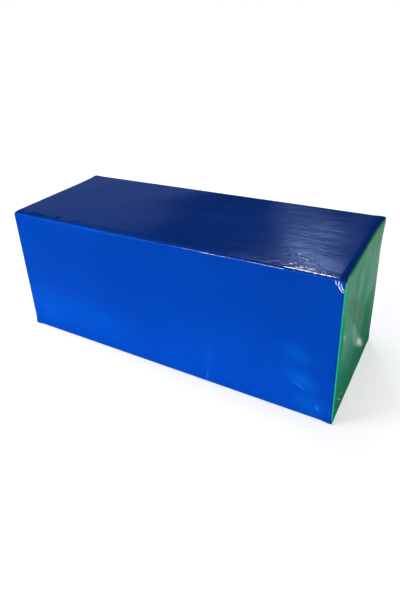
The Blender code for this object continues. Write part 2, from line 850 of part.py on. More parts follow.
def joined(name, first, others):
    """One object from overlapping pieces; the pieces that are joined on go afterwards."""
    for other in others:
        union = first.modifiers.new(other.name, "BOOLEAN")
        union.operation = "UNION"
        union.solver = "EXACT"
        union.object = other
    evaluated = first.evaluated_get(bpy.context.evaluated_depsgraph_get())
    mesh = bpy.data.meshes.new_from_object(evaluated)
    mesh.name = name
    first.modifiers.clear()
    first.data = mesh
    first.name = name
    for other in others:
        bpy.data.objects.remove(other, do_unlink=True)
    return first


def shield():
    """The slider's outline: wide at the front, where the two coils come in, narrow behind."""
    half = SLIDER_LENGTH / 2
    nose = half * NOSE_LENGTH
    upper = [
        (half, NOSE_WIDTH * SLIDER_HALF), (half - nose, SLIDER_HALF),
        (half * WIDEST_FROM, SLIDER_HALF), (nose - half, TAIL_HALF),
        (-half, TAIL_END_WIDTH * TAIL_HALF),
    ]
    return upper + [(x, -z) for x, z in reversed(upper)]


def build_slider():
    """Both plates, the flanges and neck between them, and the bridge, about the zip's line."""
    top = plate_object("slider top", shield(), -PLATE_INNER, -PLATE_OUTER, "zip_metal")
    others = [plate_object("slider back", shield(), -BACK_OUTER, -BACK_INNER, "zip_metal")]
    for way in (1, -1):
        inner = way * CHANNEL_HALF
        outer = way * (TAIL_HALF - JOIN_OVERLAP)
        others.append(add_object(
            "slider flange",
            box_points(
                -SLIDER_LENGTH / 3, SLIDER_LENGTH / 3,
                SLIDER_CLEARANCE - TAPE_DEPTH, JOIN_OVERLAP - PLATE_INNER,
                min(inner, outer), max(inner, outer),
            ),
            BOX_FACES, "zip_metal",
        ))
    neck_half = COIL_SPACING / 2 - SLIDER_CLEARANCE
    front = SLIDER_LENGTH / 2 - SLIDER_CLEARANCE
    others.append(add_object(
        "slider neck",
        box_points(
            front - SLIDER_NECK_LENGTH, front,
            -BACK_INNER - JOIN_OVERLAP, -PLATE_INNER + JOIN_OVERLAP, -neck_half, neck_half,
        ),
        BOX_FACES, "zip_metal",
    ))
    others.append(bridge())
    slider = joined("zip_slider", top, others)
    slider.location = (SLIDER_HOME_X, HALF_Y, ZIP_HEIGHT)
    return slider


def bridge():
    """The arch on the slider that the pull's bar turns in."""
    foot = -PLATE_OUTER - JOIN_OVERLAP
    axis = -PULL_AXIS_DEPTH
    outer = EYE_RADIUS + BRIDGE_LEG
    crest = EYE_RADIUS + BRIDGE_WALL
    angles = [math.pi * step / ARCH_STEPS for step in range(ARCH_STEPS + 1)]
    outline = [(outer, foot)]
    outline += [(outer * math.cos(a), axis + crest * math.sin(a)) for a in angles]
    outline += [(-outer, foot), (-EYE_RADIUS, foot)]
    outline += [
        (EYE_RADIUS * math.cos(a), axis + EYE_RADIUS * math.sin(a)) for a in reversed(angles)
    ]
    outline.append((EYE_RADIUS, foot))
    half = BRIDGE_WIDTH / 2
    return plate_object("slider bridge", outline, -half, half, "zip_metal", axis="Z")


def build_pull(slider):
    """The pull lies flat behind the slider, its origin on the bar that turns in the bridge."""
    bar = PULL_THICKNESS / 2
    window_half = BRIDGE_WIDTH / 2 + MOVING_GAP
    window_end = EYE_RADIUS + BRIDGE_LEG + WINDOW_CLEARANCE
    half = PULL_WIDTH / 2
    far = PULL_LENGTH
    outline = rounded_rectangle(-far, bar, -half, half, half / 2, steps=3)
    plate = plate_object("pull plate", outline, -bar, bar, "zip_metal")
    window = plate_object(
        "pull window",
        rounded_rectangle(-window_end, -bar, -window_half, window_half, WINDOW_CORNER, 2),
        -2 * bar, 2 * bar, "zip_metal",
    )
    centre = -far + half
    turns = [2 * math.pi * k / HOLE_SIDES for k in range(HOLE_SIDES)]
    ring = [(centre + PULL_HOLE * math.cos(a), PULL_HOLE * math.sin(a)) for a in turns]
    hole = plate_object("pull hole", ring, -2 * bar, 2 * bar, "zip_metal")
    for cutter in (window, hole):
        cutter.hide_render = True
        cutter.display_type = "WIRE"
        cut = plate.modifiers.new(cutter.name, "BOOLEAN")
        cut.operation = "DIFFERENCE"
        cut.solver = "EXACT"
        cut.object = cutter
    plate.name = "zip_pull"
    plate.location = (0, -PULL_AXIS_DEPTH, 0)
    window.parent = plate
    hole.parent = plate
    plate.parent = slider


def main():
    clear_scene()
    build_foam()
    build_cover()
    build_threads()
    build_zip_strips()
    build_zip_ends()
    build_topstitching()
    build_pull(build_slider())


main()
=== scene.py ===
"""Rectangular foam block in a sewn cover: the dressed model, its materials, light and camera.

Metres, +Z up, in the frame of the CAD model. X runs along the block, the front is at -Y.
"""

import math

import bmesh
import bpy
import numpy as np
from mathutils import Matrix, Vector


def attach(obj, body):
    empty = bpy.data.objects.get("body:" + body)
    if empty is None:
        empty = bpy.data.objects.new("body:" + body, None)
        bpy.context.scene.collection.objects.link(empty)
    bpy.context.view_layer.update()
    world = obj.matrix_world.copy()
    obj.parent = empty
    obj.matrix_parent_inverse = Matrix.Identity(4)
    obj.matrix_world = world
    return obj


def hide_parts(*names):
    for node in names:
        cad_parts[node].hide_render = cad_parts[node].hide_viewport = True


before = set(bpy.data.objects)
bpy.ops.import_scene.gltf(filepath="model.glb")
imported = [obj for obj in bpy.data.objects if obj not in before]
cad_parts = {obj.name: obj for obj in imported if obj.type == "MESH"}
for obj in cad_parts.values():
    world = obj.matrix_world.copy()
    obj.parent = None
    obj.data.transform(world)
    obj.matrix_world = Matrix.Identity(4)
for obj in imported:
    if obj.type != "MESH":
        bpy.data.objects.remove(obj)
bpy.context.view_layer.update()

# The block and its cover, as the solids have them
BLOCK_LENGTH = 1.500
BLOCK_DEPTH = 0.590
BLOCK_HEIGHT = 0.605
CROWN = 0.003
CROWN_REACH = 0.100
EDGE_RADIUS = 0.012
END_DIP = 0.002
END_DIP_DEPTH = 0.050
FABRIC = 0.0010
LAYER_GAP = 0.0003
SEAM_GAP = 0.0004
ROLL_RADIUS = 0.0040
SEAM_FLAP = 0.0060
THREAD_RADIUS = 0.00035
THREAD_DEPTH = 0.0025
HALF_X = BLOCK_LENGTH / 2 - CROWN
HALF_Y = BLOCK_DEPTH / 2 - CROWN
TOP_Z = BLOCK_HEIGHT - CROWN
X_RANGE = (-HALF_X, HALF_X)
Y_RANGE = (-HALF_Y, HALF_Y)
Z_RANGE = (0.0, TOP_Z)

# The zip, its hems and the tabs over its ends, after the solids
ZIP_HEIGHT = 0.070
ZIP_SLOT_HALF = 0.0070
ZIP_GUTTER_TOP = 0.1025
ZIP_END_CLEARANCE = 0.003
HEM_RADIUS = FABRIC + LAYER_GAP / 2
HEM_WIDTH = 0.016
TAPE_WIDTH = 0.016
TAPE_THICKNESS = 0.0006
COIL_WIDTH = 0.0030
COIL_HEIGHT = 0.0026
COIL_SPACING = 0.0014
TOPSTITCH_INSET = 0.004
TAB_LENGTH = 0.030
TAB_WIDTH = 0.030
TAB_SHOULDER = 0.004
STOP_LENGTH = 0.004
STOP_MARGIN = 0.0006
SLIDER_CLEARANCE = 0.0003
ZIP_LOW = ZIP_HEIGHT - ZIP_SLOT_HALF
ZIP_HIGH = ZIP_HEIGHT + ZIP_SLOT_HALF
ZIP_HALF = HALF_X - EDGE_RADIUS - ZIP_END_CLEARANCE
TAPE_DEPTH = 2 * HEM_RADIUS + LAYER_GAP
COIL_BACK = TAPE_DEPTH - LAYER_GAP
COIL_OUTER = COIL_SPACING / 2 + COIL_WIDTH
STOP_X = ZIP_HALF - TAB_LENGTH - STOP_LENGTH
COIL_HALF = STOP_X - STOP_LENGTH / 2 - LAYER_GAP

# The cover's shape in the scene: how the top bends down along its seams, and corners that are
# sunk, pulled out or drawn to a point. A value that varies is given here and below as the two
# places between which it changes, and its values there
END_CREASE = 0.024
CREASE_ROUND = 0.05
FRONT_CREASE = (0.05, 0.45), (0.027, 0.009)
LEAST_CREASE = 0.006
WANDER = (-0.45, -0.10), (0.30, 0.08)
FRONT_SLOPE = (0.50, 0.62), (0.095, 0.145)
CORNER_SINK = 0.0085
SINK_REACH = 0.012
CORNER_PULL = 0.0055
PULL_REACH = 0.090
CORNER_POINT = 0.75
POINT_REACH = (0.006, 0.050)

# How the panels' edges turn in, where their wrinkles end, and how wide the bands along their
# rolled edges are, whose colour is mostly painted lighter, as light on the folds.
# An edge's arc is EDGE_SCALE times as long as the sharp edge's run that it replaces
SEAMS = ("seam", "seam")
EDGE_SCALE = math.pi / 4
CORNER_ROUND = 0.0080
ROLL_STEPS = 7
HEM_STEPS = 8
HEM_SHARES = (1.0, 0.5, 0.15)
FLAP_LINES = (SEAM_FLAP, 0.003, 0.001)
CORNER_FLAP = 0.15
FLAP_DEEPENS = (0.012, 0.035)
WRINKLES_RISE = (0.004, 0.020)
WRINKLED_DEPTH = 0.0005
EDGE_PAINT_BAND = 0.0048
TOP_PAINT_BAND = (0.50, 0.58), (0.0115, EDGE_PAINT_BAND - 0.0010)

# How finely the cover is meshed
FINEST_CELL = 0.0012
CELL_GROWTH = 0.22
TOP_CELL = (0.05, 0.30), (0.0065, 0.0035)
TOP_END_CELL = 0.0016
TOP_END_REACH = END_CREASE + 0.004
TOP_ROW = 0.0019
FRONT_CELL = (0.67, 0.71), (0.0065, 0.0009)
FRONT_ROW = (0.525, 0.555), (0.0050, 0.0009)
BASE_CELL = 0.014
REAR_CELL = 0.0070
REAR_UPPER_ROW = 0.0060
REAR_LOWER_ROW = 0.0040
LEFT_CELLS = (0.0045, 0.0060)
RIGHT_CELLS = (0.0040, 0.0050)
SHARP_ANGLE = 60

# Waves of the cloth: seed, height, lengths one way and the other, their number, and their turn
# in degrees. The two ends share their rows, each with a seed of its own
CREASE_WAVES = (61, 1.0, (0.035, 0.12), (1.0, 2.0), 10)
TOP_SLOW = (3, 0.0005, (0.35, 0.8), (0.25, 0.5), 10)
TOP_PATCHY = (11, 0.45, (0.12, 0.3), (0.06, 0.14), 10)
TOP_BROAD = (7, 0.00012, (0.20, 0.50), (0.050, 0.10), 14, 16)
TOP_FINE = (5, 1.0, (0.08, 0.22), (0.020, 0.040), 30, 20)
TOP_FINER = (6, 1.0, (0.04, 0.09), (0.009, 0.018), 30, 24)
TOP_LEFT = (12, 0.00005, (0.10, 0.3), (0.05, 0.09), 16, 10)
RAGGED_WAVES = (62, 1.0, (0.008, 0.030), (1.0, 2.0), 8)
FRONT_SLOW = (21, 0.0010, (0.25, 0.7), (0.15, 0.45), 10)
FRONT_PULL = (22, 0.00025, (0.05, 0.14), (0.10, 0.30), 18)
FRONT_SIDE = (23, 0.00022, (0.10, 0.30), (0.03, 0.07), 16)
REAR_SLOW = (51, 0.0010, (0.25, 0.7), (0.15, 0.45), 10)
REAR_DRAG = (52, 0.00035, (0.06, 0.16), (0.10, 0.30), 18)
END_SLOW = (0.0010, (0.15, 0.4), (0.25, 0.6), 10)
END_UPRIGHT = (0.00045, (0.060, 0.160), (0.60, 2.0), 9)
END_LEVEL = (0.00030, (0.20, 0.5), (0.030, 0.08), 16)
RIGHT_SEED = 31
LEFT_SEED = 41

# Where the waves lie, and the heights of the top's fine ones: in its right part, and more by
# the front right corner
TOP_RIGHT_X = (0.15, 0.42)
TOP_CALM = (0.60, 0.72), (1.0, 0.45)
TOP_LEFT_X = (0.1, -0.4)
TOP_EVEN = 0.55
TOP_FINE_HEIGHTS = (0.00003, 0.000012)
TOP_CORNER = ((0.56, -0.26), (0.16, 0.050))
TOP_CORNER_HEIGHTS = (0.00008, 0.00004)
FRONT_PULL_Z = (0.40, 0.60)
FRONT_SIDE_X = (0.60, 0.74)
FRONT_DIMPLE = ((0.689, 0.057), (0.014, 0.012))
FRONT_DIMPLE_HEIGHT = 0.0018
FRONT_EDGE = (0.70, 0.72), (0.0, 0.8)
END_UPRIGHT_Z = (0.10, 0.42)
END_LEVEL_Z = (0.30, 0.05)
REAR_DRAG_Z = (0.28, 0.10)

# Many short ridges: seed, number, centre, spread, lengths, widths, heights and turn in degrees.
# Their turns scatter by RIDGE_SPREAD, they bend, and one in three is a shallow crease
TOP_RIDGES = [
    (71, 120, (0.50, -0.02), (0.11, 0.15), (0.020, 0.060), (0.0024, 0.0040), (0.00004, 0.00014), 26),
    (74, 60, (0.56, -0.06), (0.07, 0.10), (0.020, 0.055), (0.0022, 0.0032), (0.00012, 0.00034), 26),
    (75, 34, (0.645, -0.205), (0.035, 0.040), (0.015, 0.045), (0.0018, 0.0028), (0.00008, 0.00022), 20),
    (72, 44, (0.635, -0.266), (0.05, 0.011), (0.035, 0.090), (0.0020, 0.0030), (0.0002, 0.0005), 6),
    (73, 26, (-0.35, -0.262), (0.20, 0.012), (0.030, 0.080), (0.0030, 0.0050), (0.0001, 0.0003), 4),
]
END_RIDGES = (26, (0.0, 0.44), (0.15, 0.07), (0.10, 0.26), (0.005, 0.010), (0.0003, 0.0009), 90)
RIDGE_SPREAD = 9.0
RIDGE_SIGNS = (1.0, 1.0, -0.5)
RIDGE_BENDS = (-0.15, 0.15)

# Single folds: start, end, bend, width and height. A fold has a trough on both sides, which is a
# share of its height and so many times as wide. It ends with FOLD_ENDS of its height and fades
# out over FOLD_FADE widths
FOLD_TROUGH = (0.25, 2.2)
FOLD_ENDS = 0.35
FOLD_FADE = 1.5
TOP_FOLDS = [
    ((0.5, -0.19), (0.65, -0.232), 0.012, 0.005, 0.0006),
    ((0.56, -0.28), (0.735, -0.283), 0.0, 0.0028, 0.0014),
    ((0.56, -0.268), (0.68, -0.276), 0.002, 0.0028, 0.0009),
    ((0.6, -0.15), (0.665, -0.17), 0.006, 0.0035, 0.0006),
    ((0.52, -0.045), (0.6, -0.05), 0.004, 0.004, 0.0005),
    ((0.56, -0.1), (0.64, -0.125), 0.01, 0.004, 0.0006),
    ((0.43, 0.05), (0.52, 0.046), 0.006, 0.005, 0.0005),
    ((0.48, -0.005), (0.545, -0.014), -0.004, 0.004, 0.0005),
    ((0.56, 0.06), (0.64, 0.072), 0.004, 0.0045, 0.0004),
    ((0.62, -0.272), (0.69, -0.268), 0.004, 0.003, 0.0007),
    ((-0.66, -0.245), (-0.625, -0.276), 0.004, 0.0035, -0.0006),
    ((-0.42, -0.262), (-0.37, -0.25), 0.004, 0.0035, 0.0006),
    ((-0.33, -0.258), (-0.27, -0.262), 0.003, 0.003, 0.0005),
]
PUCKERS = [
    ((0.713, 0.597), (0.719, 0.58), -0.0015, 0.0016, 0.0004),
    ((0.723, 0.59), (0.743, 0.556), -0.005, 0.0017, 0.0005),
    ((0.731, 0.59), (0.744, 0.564), -0.003, 0.0015, 0.0004),
    ((0.723, 0.597), (0.727, 0.585), -0.001, 0.0013, 0.0003),
]
FRONT_FOLDS = PUCKERS + [
    ((0.73, 0.505), (0.742, 0.504), 0.0, 0.0014, 0.0008),
    ((0.722, 0.455), (0.74, 0.453), 0.0, 0.0016, 0.0005),
    ((0.72, 0.36), (0.741, 0.355), 0.001, 0.0018, 0.0005),
    ((0.718, 0.27), (0.74, 0.268), 0.001, 0.0018, 0.0005),
    ((-0.35, 0.595), (-0.335, 0.56), 0.003, 0.0022, -0.0008),
    ((-0.37, 0.594), (-0.362, 0.566), 0.002, 0.0022, 0.0006),
    ((-0.28, 0.594), (-0.268, 0.568), 0.002, 0.0022, 0.0005),
    ((-0.08, 0.592), (-0.06, 0.558), 0.003, 0.003, 0.0004),
    ((0.24, 0.592), (0.255, 0.56), 0.003, 0.003, 0.0004),
    ((-0.7, 0.26), (-0.48, 0.14), 0.02, 0.018, 0.0012),
    ((-0.69, 0.135), (-0.45, 0.02), 0.02, 0.012, 0.0022),
    ((-0.7, 0.1), (-0.52, 0.02), 0.01, 0.012, -0.0012),
    ((0.56, 0.18), (0.64, 0.13), 0.004, 0.005, 0.001),
]
END_FOLDS = [
    ((-0.258, 0.378), (-0.245, 0.34), 0.002, 0.0035, 0.0008),
    ((-0.25, 0.062), (-0.17, 0.066), 0.004, 0.003, 0.0008),
    ((-0.205, 0.076), (-0.185, 0.074), 0.0, 0.003, 0.0008),
    ((-0.22, 0.545), (-0.205, 0.4), 0.006, 0.005, 0.0007),
    ((-0.12, 0.56), (-0.11, 0.38), 0.006, 0.006, 0.0008),
    ((0.02, 0.56), (0.025, 0.4), -0.006, 0.007, 0.0008),
    ((0.12, 0.555), (0.11, 0.43), 0.004, 0.006, 0.0007),
    ((0.06, 0.43), (0.24, 0.4), 0.012, 0.007, 0.0006),
]

# Where the cloth is stretched shiny, and its colour painted a little lighter as highlight: a ragged
# line on the top's ridge by the front seam, the puckers, and a thin line on the fold above the
# front, as the middle and half of its length
RIDGE_Y = -0.2822
RIDGE_RAGGED = 0.0014
RIDGE_HALF_WIDTH = 0.0030
RIDGE_SWELLS = (0.75, 0.35)
RIDGE_X = (0.52, 0.60), (0.735, 0.69)
PUCKER_HEIGHT = 0.00010
FRONT_LINE = (0.345, 0.26)
FRONT_LINE_DROP = 0.0010
FRONT_LINE_HEIGHT = 0.0027
FRONT_LINE_LEAST = 0.0004

# The threads: how a stitch swells between two holes, and how a single stitch lies in the cloth,
# as its share along, its size and how many radii it is sunk
SEAM_END_CLEARANCE = 0.004
STITCH_PITCH = 0.0042
STITCH_LENGTH = 0.0034
STITCH_LEAD = 0.1
THREAD_STEP = 0.0009
THREAD_SIDES = 6
THREAD_SUNK = 0.0002
THREAD_RISE = 0.0003
THREAD_FLATNESS = 0.42
THREAD_PINCH = 0.62
STITCH_PROFILE = (
    (0.0, 0.30, 0.9), (0.12, 0.80, 0.45), (0.35, 1.0, 0.1),
    (0.65, 1.0, 0.1), (0.88, 0.80, 0.45), (1.0, 0.30, 0.9),
)

# The zip's fine shapes. The tape's section has a thicker edge by the coil and a thin selvedge;
# its points are (from the coil edge, from the tape's front)
COIL_REACH = 0.0006
COIL_PITCH = 0.0024
COIL_WIRE = 0.00045
COIL_STEPS = 10
COIL_SIDES = 5
TAPE_CORD = 0.0040
TAPE_SECTION = [
    (0.0, TAPE_THICKNESS - 0.0001), (0.0, 0.0001), (0.0005, 0.0), (TAPE_CORD, 0.0), (0.0046, 0.00012),
    (TAPE_WIDTH - 0.0012, 0.00012), (TAPE_WIDTH - 0.0006, 0.00004), (TAPE_WIDTH, 0.00016),
    (TAPE_WIDTH, TAPE_THICKNESS - 0.0001), (TAPE_WIDTH - 0.0012, TAPE_THICKNESS),
]
TAPE_STATIONS = 180
TAPE_RIPPLE = 0.00005
TAPE_RIPPLE_LENGTH = 0.043
STOP_STEPS = 12
STOP_SHOULDER = 0.35
STOP_ROUND = 0.6
STOP_PROFILE = ((1.0, 0.80), (0.85, 0.97), (0.3, 1.0), (0.12, 0.88))
TAB_COLUMNS = 34
TAB_ROWS = 25
TAB_STITCH_INSET = 0.0035
TAB_STITCH_RISE = 0.00025
TAB_SEAM_MARGIN = 0.002
TAB_PUFF = 0.00035
TAB_PUFF_REACH = 0.0030

# The foam's cut faces: how finely they are meshed, and how far and unevenly they are cut back
FOAM_EDGE = 0.045
FOAM_CUTS = 4
FOAM_CUT_BACK = 0.0030
FOAM_UNEVEN = 0.0005
FOAM_WAVES = (37.0, 51.0, 43.0, 29.0)
FOAM_WAVE_BEND = 3.0
FOAM_MERGE = 1e-6

# The vinyl's noises as scale and detail, its weave as scale and distortion, what some of these
# give between which levels, its bumps as strength and height, and its coat
CLOUDS = (2.2, 3.0)
STREAKS = (1.0, 4.0)
SPECKS = (220.0, 2.0)
SMEARS = (9.0, 4.0)
SLACK = (26.0, 2.0)
GRAIN = (900.0, 3.0)
WEAVE = (260.0, 1.2)
STREAK_LEVELS = (0.0, 0.35, 0.55, 0.75)
SPECK_LEVELS = (0.0, 0.10, 0.60, 0.75)
SMEAR_LEVELS = (0.30, 0.70)
CREASE_LEVELS = (0.0, 1.0, 0.52, 0.68)
SLACK_BUMP = (0.15, 0.004)
WEAVE_BUMP = (0.10, 0.0002)
GRAIN_BUMP = (0.12, 0.0002)
COAT_ROUGHNESS = 0.09
SHINE_IOR = 3.0
SHINE_RIM = (0.2, 0.3)
SPOT_DEPTH = 0.10
SPOT_NOISE = (1.6, 3.0)
# Painted shade towards the floor: the heights between which the colour darkens, and how ragged that is
LOW_SHADE_HEIGHTS = (-0.12, 0.16)
LOW_SHADE_RAGGED = 0.35
TOP_CREASES = ((0.61, -0.08, 0.605), (0.23, 0.34, 0.2), 22, 0.050, 0.0075, 0.00026)

# The foam's open cells, and the zip tape's threads and fuzz: scales, colours, and bumps as
# strength and height
FOAM_CELLS = 420.0
# The foam's darkest colour is painted shade in the pores of its open cells
FOAM_PORE_SHADE = (0.62, 0.54, 0.34)
FOAM_PALE = (0.84, 0.78, 0.56)
FOAM_AGED = (0.78, 0.66, 0.36)
FOAM_AGED_SHARE = 0.4
FOAM_BUMP = (0.6, 0.0012)
FUZZ = (700.0, 2.0)
FUZZ_SHARE = 0.25
THREADS_BUMP = (0.5, 0.0003)
FUZZ_BUMP = (0.3, 0.0002)

# Painted light and shade on the blue front, as lighter glows and bands, highlights, a sheen along a
# crease and lit and shaded patches: place, size, tilt, colour and amount
PAINTED_GLOW_BLUE = (0.0010, 0.098, 0.655)
LIT_BLUE = (0.0014, 0.128, 0.700)
PAINTED_HIGHLIGHT_BLUE = (0.020, 0.200, 0.860)
SHADE_BLUE = (0.0008, 0.058, 0.470)
CREASE_SHEEN_BLUE = (0.0012, 0.13, 0.62)
BLUE_PAINTED_LIGHT = [
    ((-0.42, 0.14), (0.46, 0.17), 10, PAINTED_GLOW_BLUE, 0.6),
    ((-0.64, 0.11), (0.22, 0.16), 10, PAINTED_GLOW_BLUE, 0.7),
    ((0.665, 0.06), (0.1, 0.085), 0, LIT_BLUE, 0.75),
    ((0.48, 0.43), (0.24, 0.13), 0, SHADE_BLUE, 0.35),
    ((0.05, 0.16), (0.13, 0.14), 0, SHADE_BLUE, 0.25),
    ((0.247, 0.12), (0.022, 0.14), 7, PAINTED_GLOW_BLUE, 0.7),
    ((0.236, 0.035), (0.008, 0.032), 5, PAINTED_HIGHLIGHT_BLUE, 0.65),
    ((0.6, 0.27), (0.1, 0.06), 12, LIT_BLUE, 0.55),
    ((0.625, 0.16), (0.095, 0.06), 20, LIT_BLUE, 0.95),
    ((0.615, 0.137), (0.04, 0.009), 28, PAINTED_HIGHLIGHT_BLUE, 0.6),
    ((0.689, 0.057), (0.011, 0.022), -8, PAINTED_HIGHLIGHT_BLUE, 0.95),
    ((0.66, 0.042), (0.016, 0.012), 20, PAINTED_GLOW_BLUE, 0.9),
    ((0.736, 0.05), (0.005, 0.03), 0, PAINTED_HIGHLIGHT_BLUE, 0.35),
    ((-0.35, 0.598), (0.62, 0.024), 0, PAINTED_GLOW_BLUE, 0.95),
    ((-0.378, 0.58), (0.0025, 0.016), 24, PAINTED_HIGHLIGHT_BLUE, 0.45),
    ((-0.366, 0.576), (0.0025, 0.018), 30, PAINTED_HIGHLIGHT_BLUE, 0.45),
    ((0.35, 0.6), (0.4, 0.01), 0, PAINTED_GLOW_BLUE, 0.5),
    ((-0.6, 0.1), (0.14, 0.01), 25, CREASE_SHEEN_BLUE, 0.45),
]

# Painted reflections on the green end, as grey sheen and haze, teal and dark reflections, a halo
# round its shiny spot and a greener band along its top, and its shiny spots: place, size, tilt and amount
OLIVE_DARK_REFLECTION = (0.050, 0.215, 0.100)
TEAL_REFLECTION = (0.050, 0.330, 0.235)
GREY_SHEEN_GREEN = (0.085, 0.400, 0.260)
GREY_HAZE_GREEN = (0.145, 0.285, 0.185)
LEAF_GREEN = (0.030, 0.370, 0.150)
MOSS_DARK_REFLECTION = (0.030, 0.230, 0.090)
POOL_HIGHLIGHT_HALO = (0.060, 0.420, 0.420)
GREEN_PAINTED_REFLECTIONS = [
    ((0.0, 0.6), (0.34, 0.06), 0, LEAF_GREEN, 0.7),
    ((-0.2, 0.52), (0.07, 0.07), 0, GREY_SHEEN_GREEN, 0.6),
    ((-0.06, 0.48), (0.05, 0.09), 15, GREY_SHEEN_GREEN, 0.55),
    ((0.19, 0.46), (0.12, 0.16), 0, GREY_SHEEN_GREEN, 0.6),
    ((0.02, 0.3), (0.38, 0.085), -34, OLIVE_DARK_REFLECTION, 0.85),
    ((0.13, 0.35), (0.18, 0.04), -34, GREY_SHEEN_GREEN, 0.65),
    ((-0.17, 0.24), (0.19, 0.09), -36, TEAL_REFLECTION, 0.75),
    ((-0.12, 0.405), (0.17, 0.05), -34, MOSS_DARK_REFLECTION, 0.85),
    ((0.12, 0.585), (0.12, 0.045), 0, MOSS_DARK_REFLECTION, 0.45),
    ((0.035, 0.16), (0.11, 0.02), -38, POOL_HIGHLIGHT_HALO, 0.6),
    ((0.2, 0.12), (0.16, 0.12), -30, GREY_HAZE_GREEN, 0.8),
    ((0.23, 0.3), (0.12, 0.2), 0, GREY_HAZE_GREEN, 0.6),
    ((-0.1, 0.1), (0.15, 0.012), -20, TEAL_REFLECTION, 0.6),
]
GREEN_SHINE = [
    ((0.04, 0.153), (0.125, 0.023), -38, 1.0),
    ((0.0, 0.185), (0.2, 0.036), -39, 0.24),
    ((-0.075, 0.265), (0.13, 0.03), -50, 0.24),
    ((-0.249, 0.36), (0.026, 0.015), -60, 0.7),
    ((-0.225, 0.072), (0.055, 0.0045), -41, 0.5),
    ((-0.193, 0.074), (0.01, 0.008), 0, 0.7),
]

# The floor and the world, which is dark but for a low band of white, broader on one side
FLOOR_REACH = 40.0
FLOOR_DROP = 0.0005
FLOOR_COLOUR = (0.55, 0.55, 0.56, 1.0)
FLOOR_GLOW = (0.62, 1.0)
FLOOR_GLOW_REACH = (0.9, 3.5)
WHITE = (1.0, 1.0, 1.0, 1.0)
WORLD_DIM = 0.008
HORIZON = (0.05, 0.15)
DARK_SIDE = (-0.39, 0.92, 0.0)
DARK_SIDE_REACH = (0.35, 0.70)
DARK_SIDE_RISE = 0.14

# Lamps: name, place, aim, size, power, and for some colour and turn in degrees
SKY = (0.40, 0.57, 1.0)
LAMPS = [
    ("key", (-2.1, -2.3, 3.0), (0.0, 0.0, 0.4), (1.6, 1.4), 98.0),
    ("floor strip", (-0.4, -1.05, 0.05), (-0.4, -0.3, 0.05), (2.2, 0.15), 1.7),
    ("near strip", (-0.3, -0.55, 0.03), (-0.3, -0.3, 0.03), (1.9, 0.06), 0.55),
    ("overhead", (0.2, 0.2, 3.6), (0.0, 0.0, 0.3), (2.0, 1.2), 48.0),
    ("overhead left", (-1.8, 0.3, 3.0), (-0.2, 0.0, 0.5), (1.6, 1.2), 12.0),
    ("corner", (2.3, -2.5, 0.35), (0.75, -0.3, 0.55), (0.6, 0.6), 14.0),
    ("right", (3.2, 0.2, 3.0), (0.7, 0.0, 0.3), (1.2, 1.2), 14.0),
    ("rear left", (-3.08, 3.0, 1.25), (-3.08, 0.0, 1.25), (2.4, 4.8), 7.8, SKY, -42.3),
    ("rear strip", (-0.30, 3.1, 2.09), (-0.30, 0.0, 2.09), (1.06, 1.04), 0.78, SKY),
    ("rear strip low", (-0.40, 3.0, 1.69), (-0.40, 0.0, 1.69), (0.52, 0.60), 0.13, SKY),
    ("rear strip middle", (-0.34, 3.0, 2.12), (-0.34, 0.0, 2.12), (0.50, 0.24), 0.27, SKY),
    ("rear strip high", (-0.29, 3.0, 2.48), (-0.29, 0.0, 2.48), (0.60, 0.48), 2.7, SKY),
    ("rear high", (-0.68, 2.5, 3.3), (0.5, -0.2, 0.6), (0.6, 0.4), 30.0, (0.86, 0.94, 1.0)),
]

# The camera, as solved from the photograph's outline; its turn is azimuth, elevation and roll
CAMERA_SENSOR = 36.0
CAMERA_LENS = 29.724
CAMERA_SHIFT = (0.01723, -0.07477)
CAMERA_TURN = (31.812, 26.298, -3.147)
CAMERA_PLACE = (1.0371, -1.6720, 1.3759)


# The cover's surface, for arrays of points

def smooth(x, low, high):
    """Eases from 0 to 1 between two places."""
    share = np.clip((x - low) / (high - low), 0.0, 1.0)
    return share * share * (3 - 2 * share)


def eased(x, places, values):
    return values[0] + (values[1] - values[0]) * smooth(x, *places)


def swell(share):
    return np.maximum(0.0, 1.0 - share**4)


def bent(distance, crease):
    """A slope from a rounded crease down to the seam beside it: 0 there and 1 at the seam."""
    past = 1.0 - distance / crease
    slope = 0.5 * (past + np.sqrt(past**2 + CREASE_ROUND**2)) - 0.5 * CREASE_ROUND**2 / 2
    return np.where(past > -1.0, np.maximum(0.0, slope), 0.0)


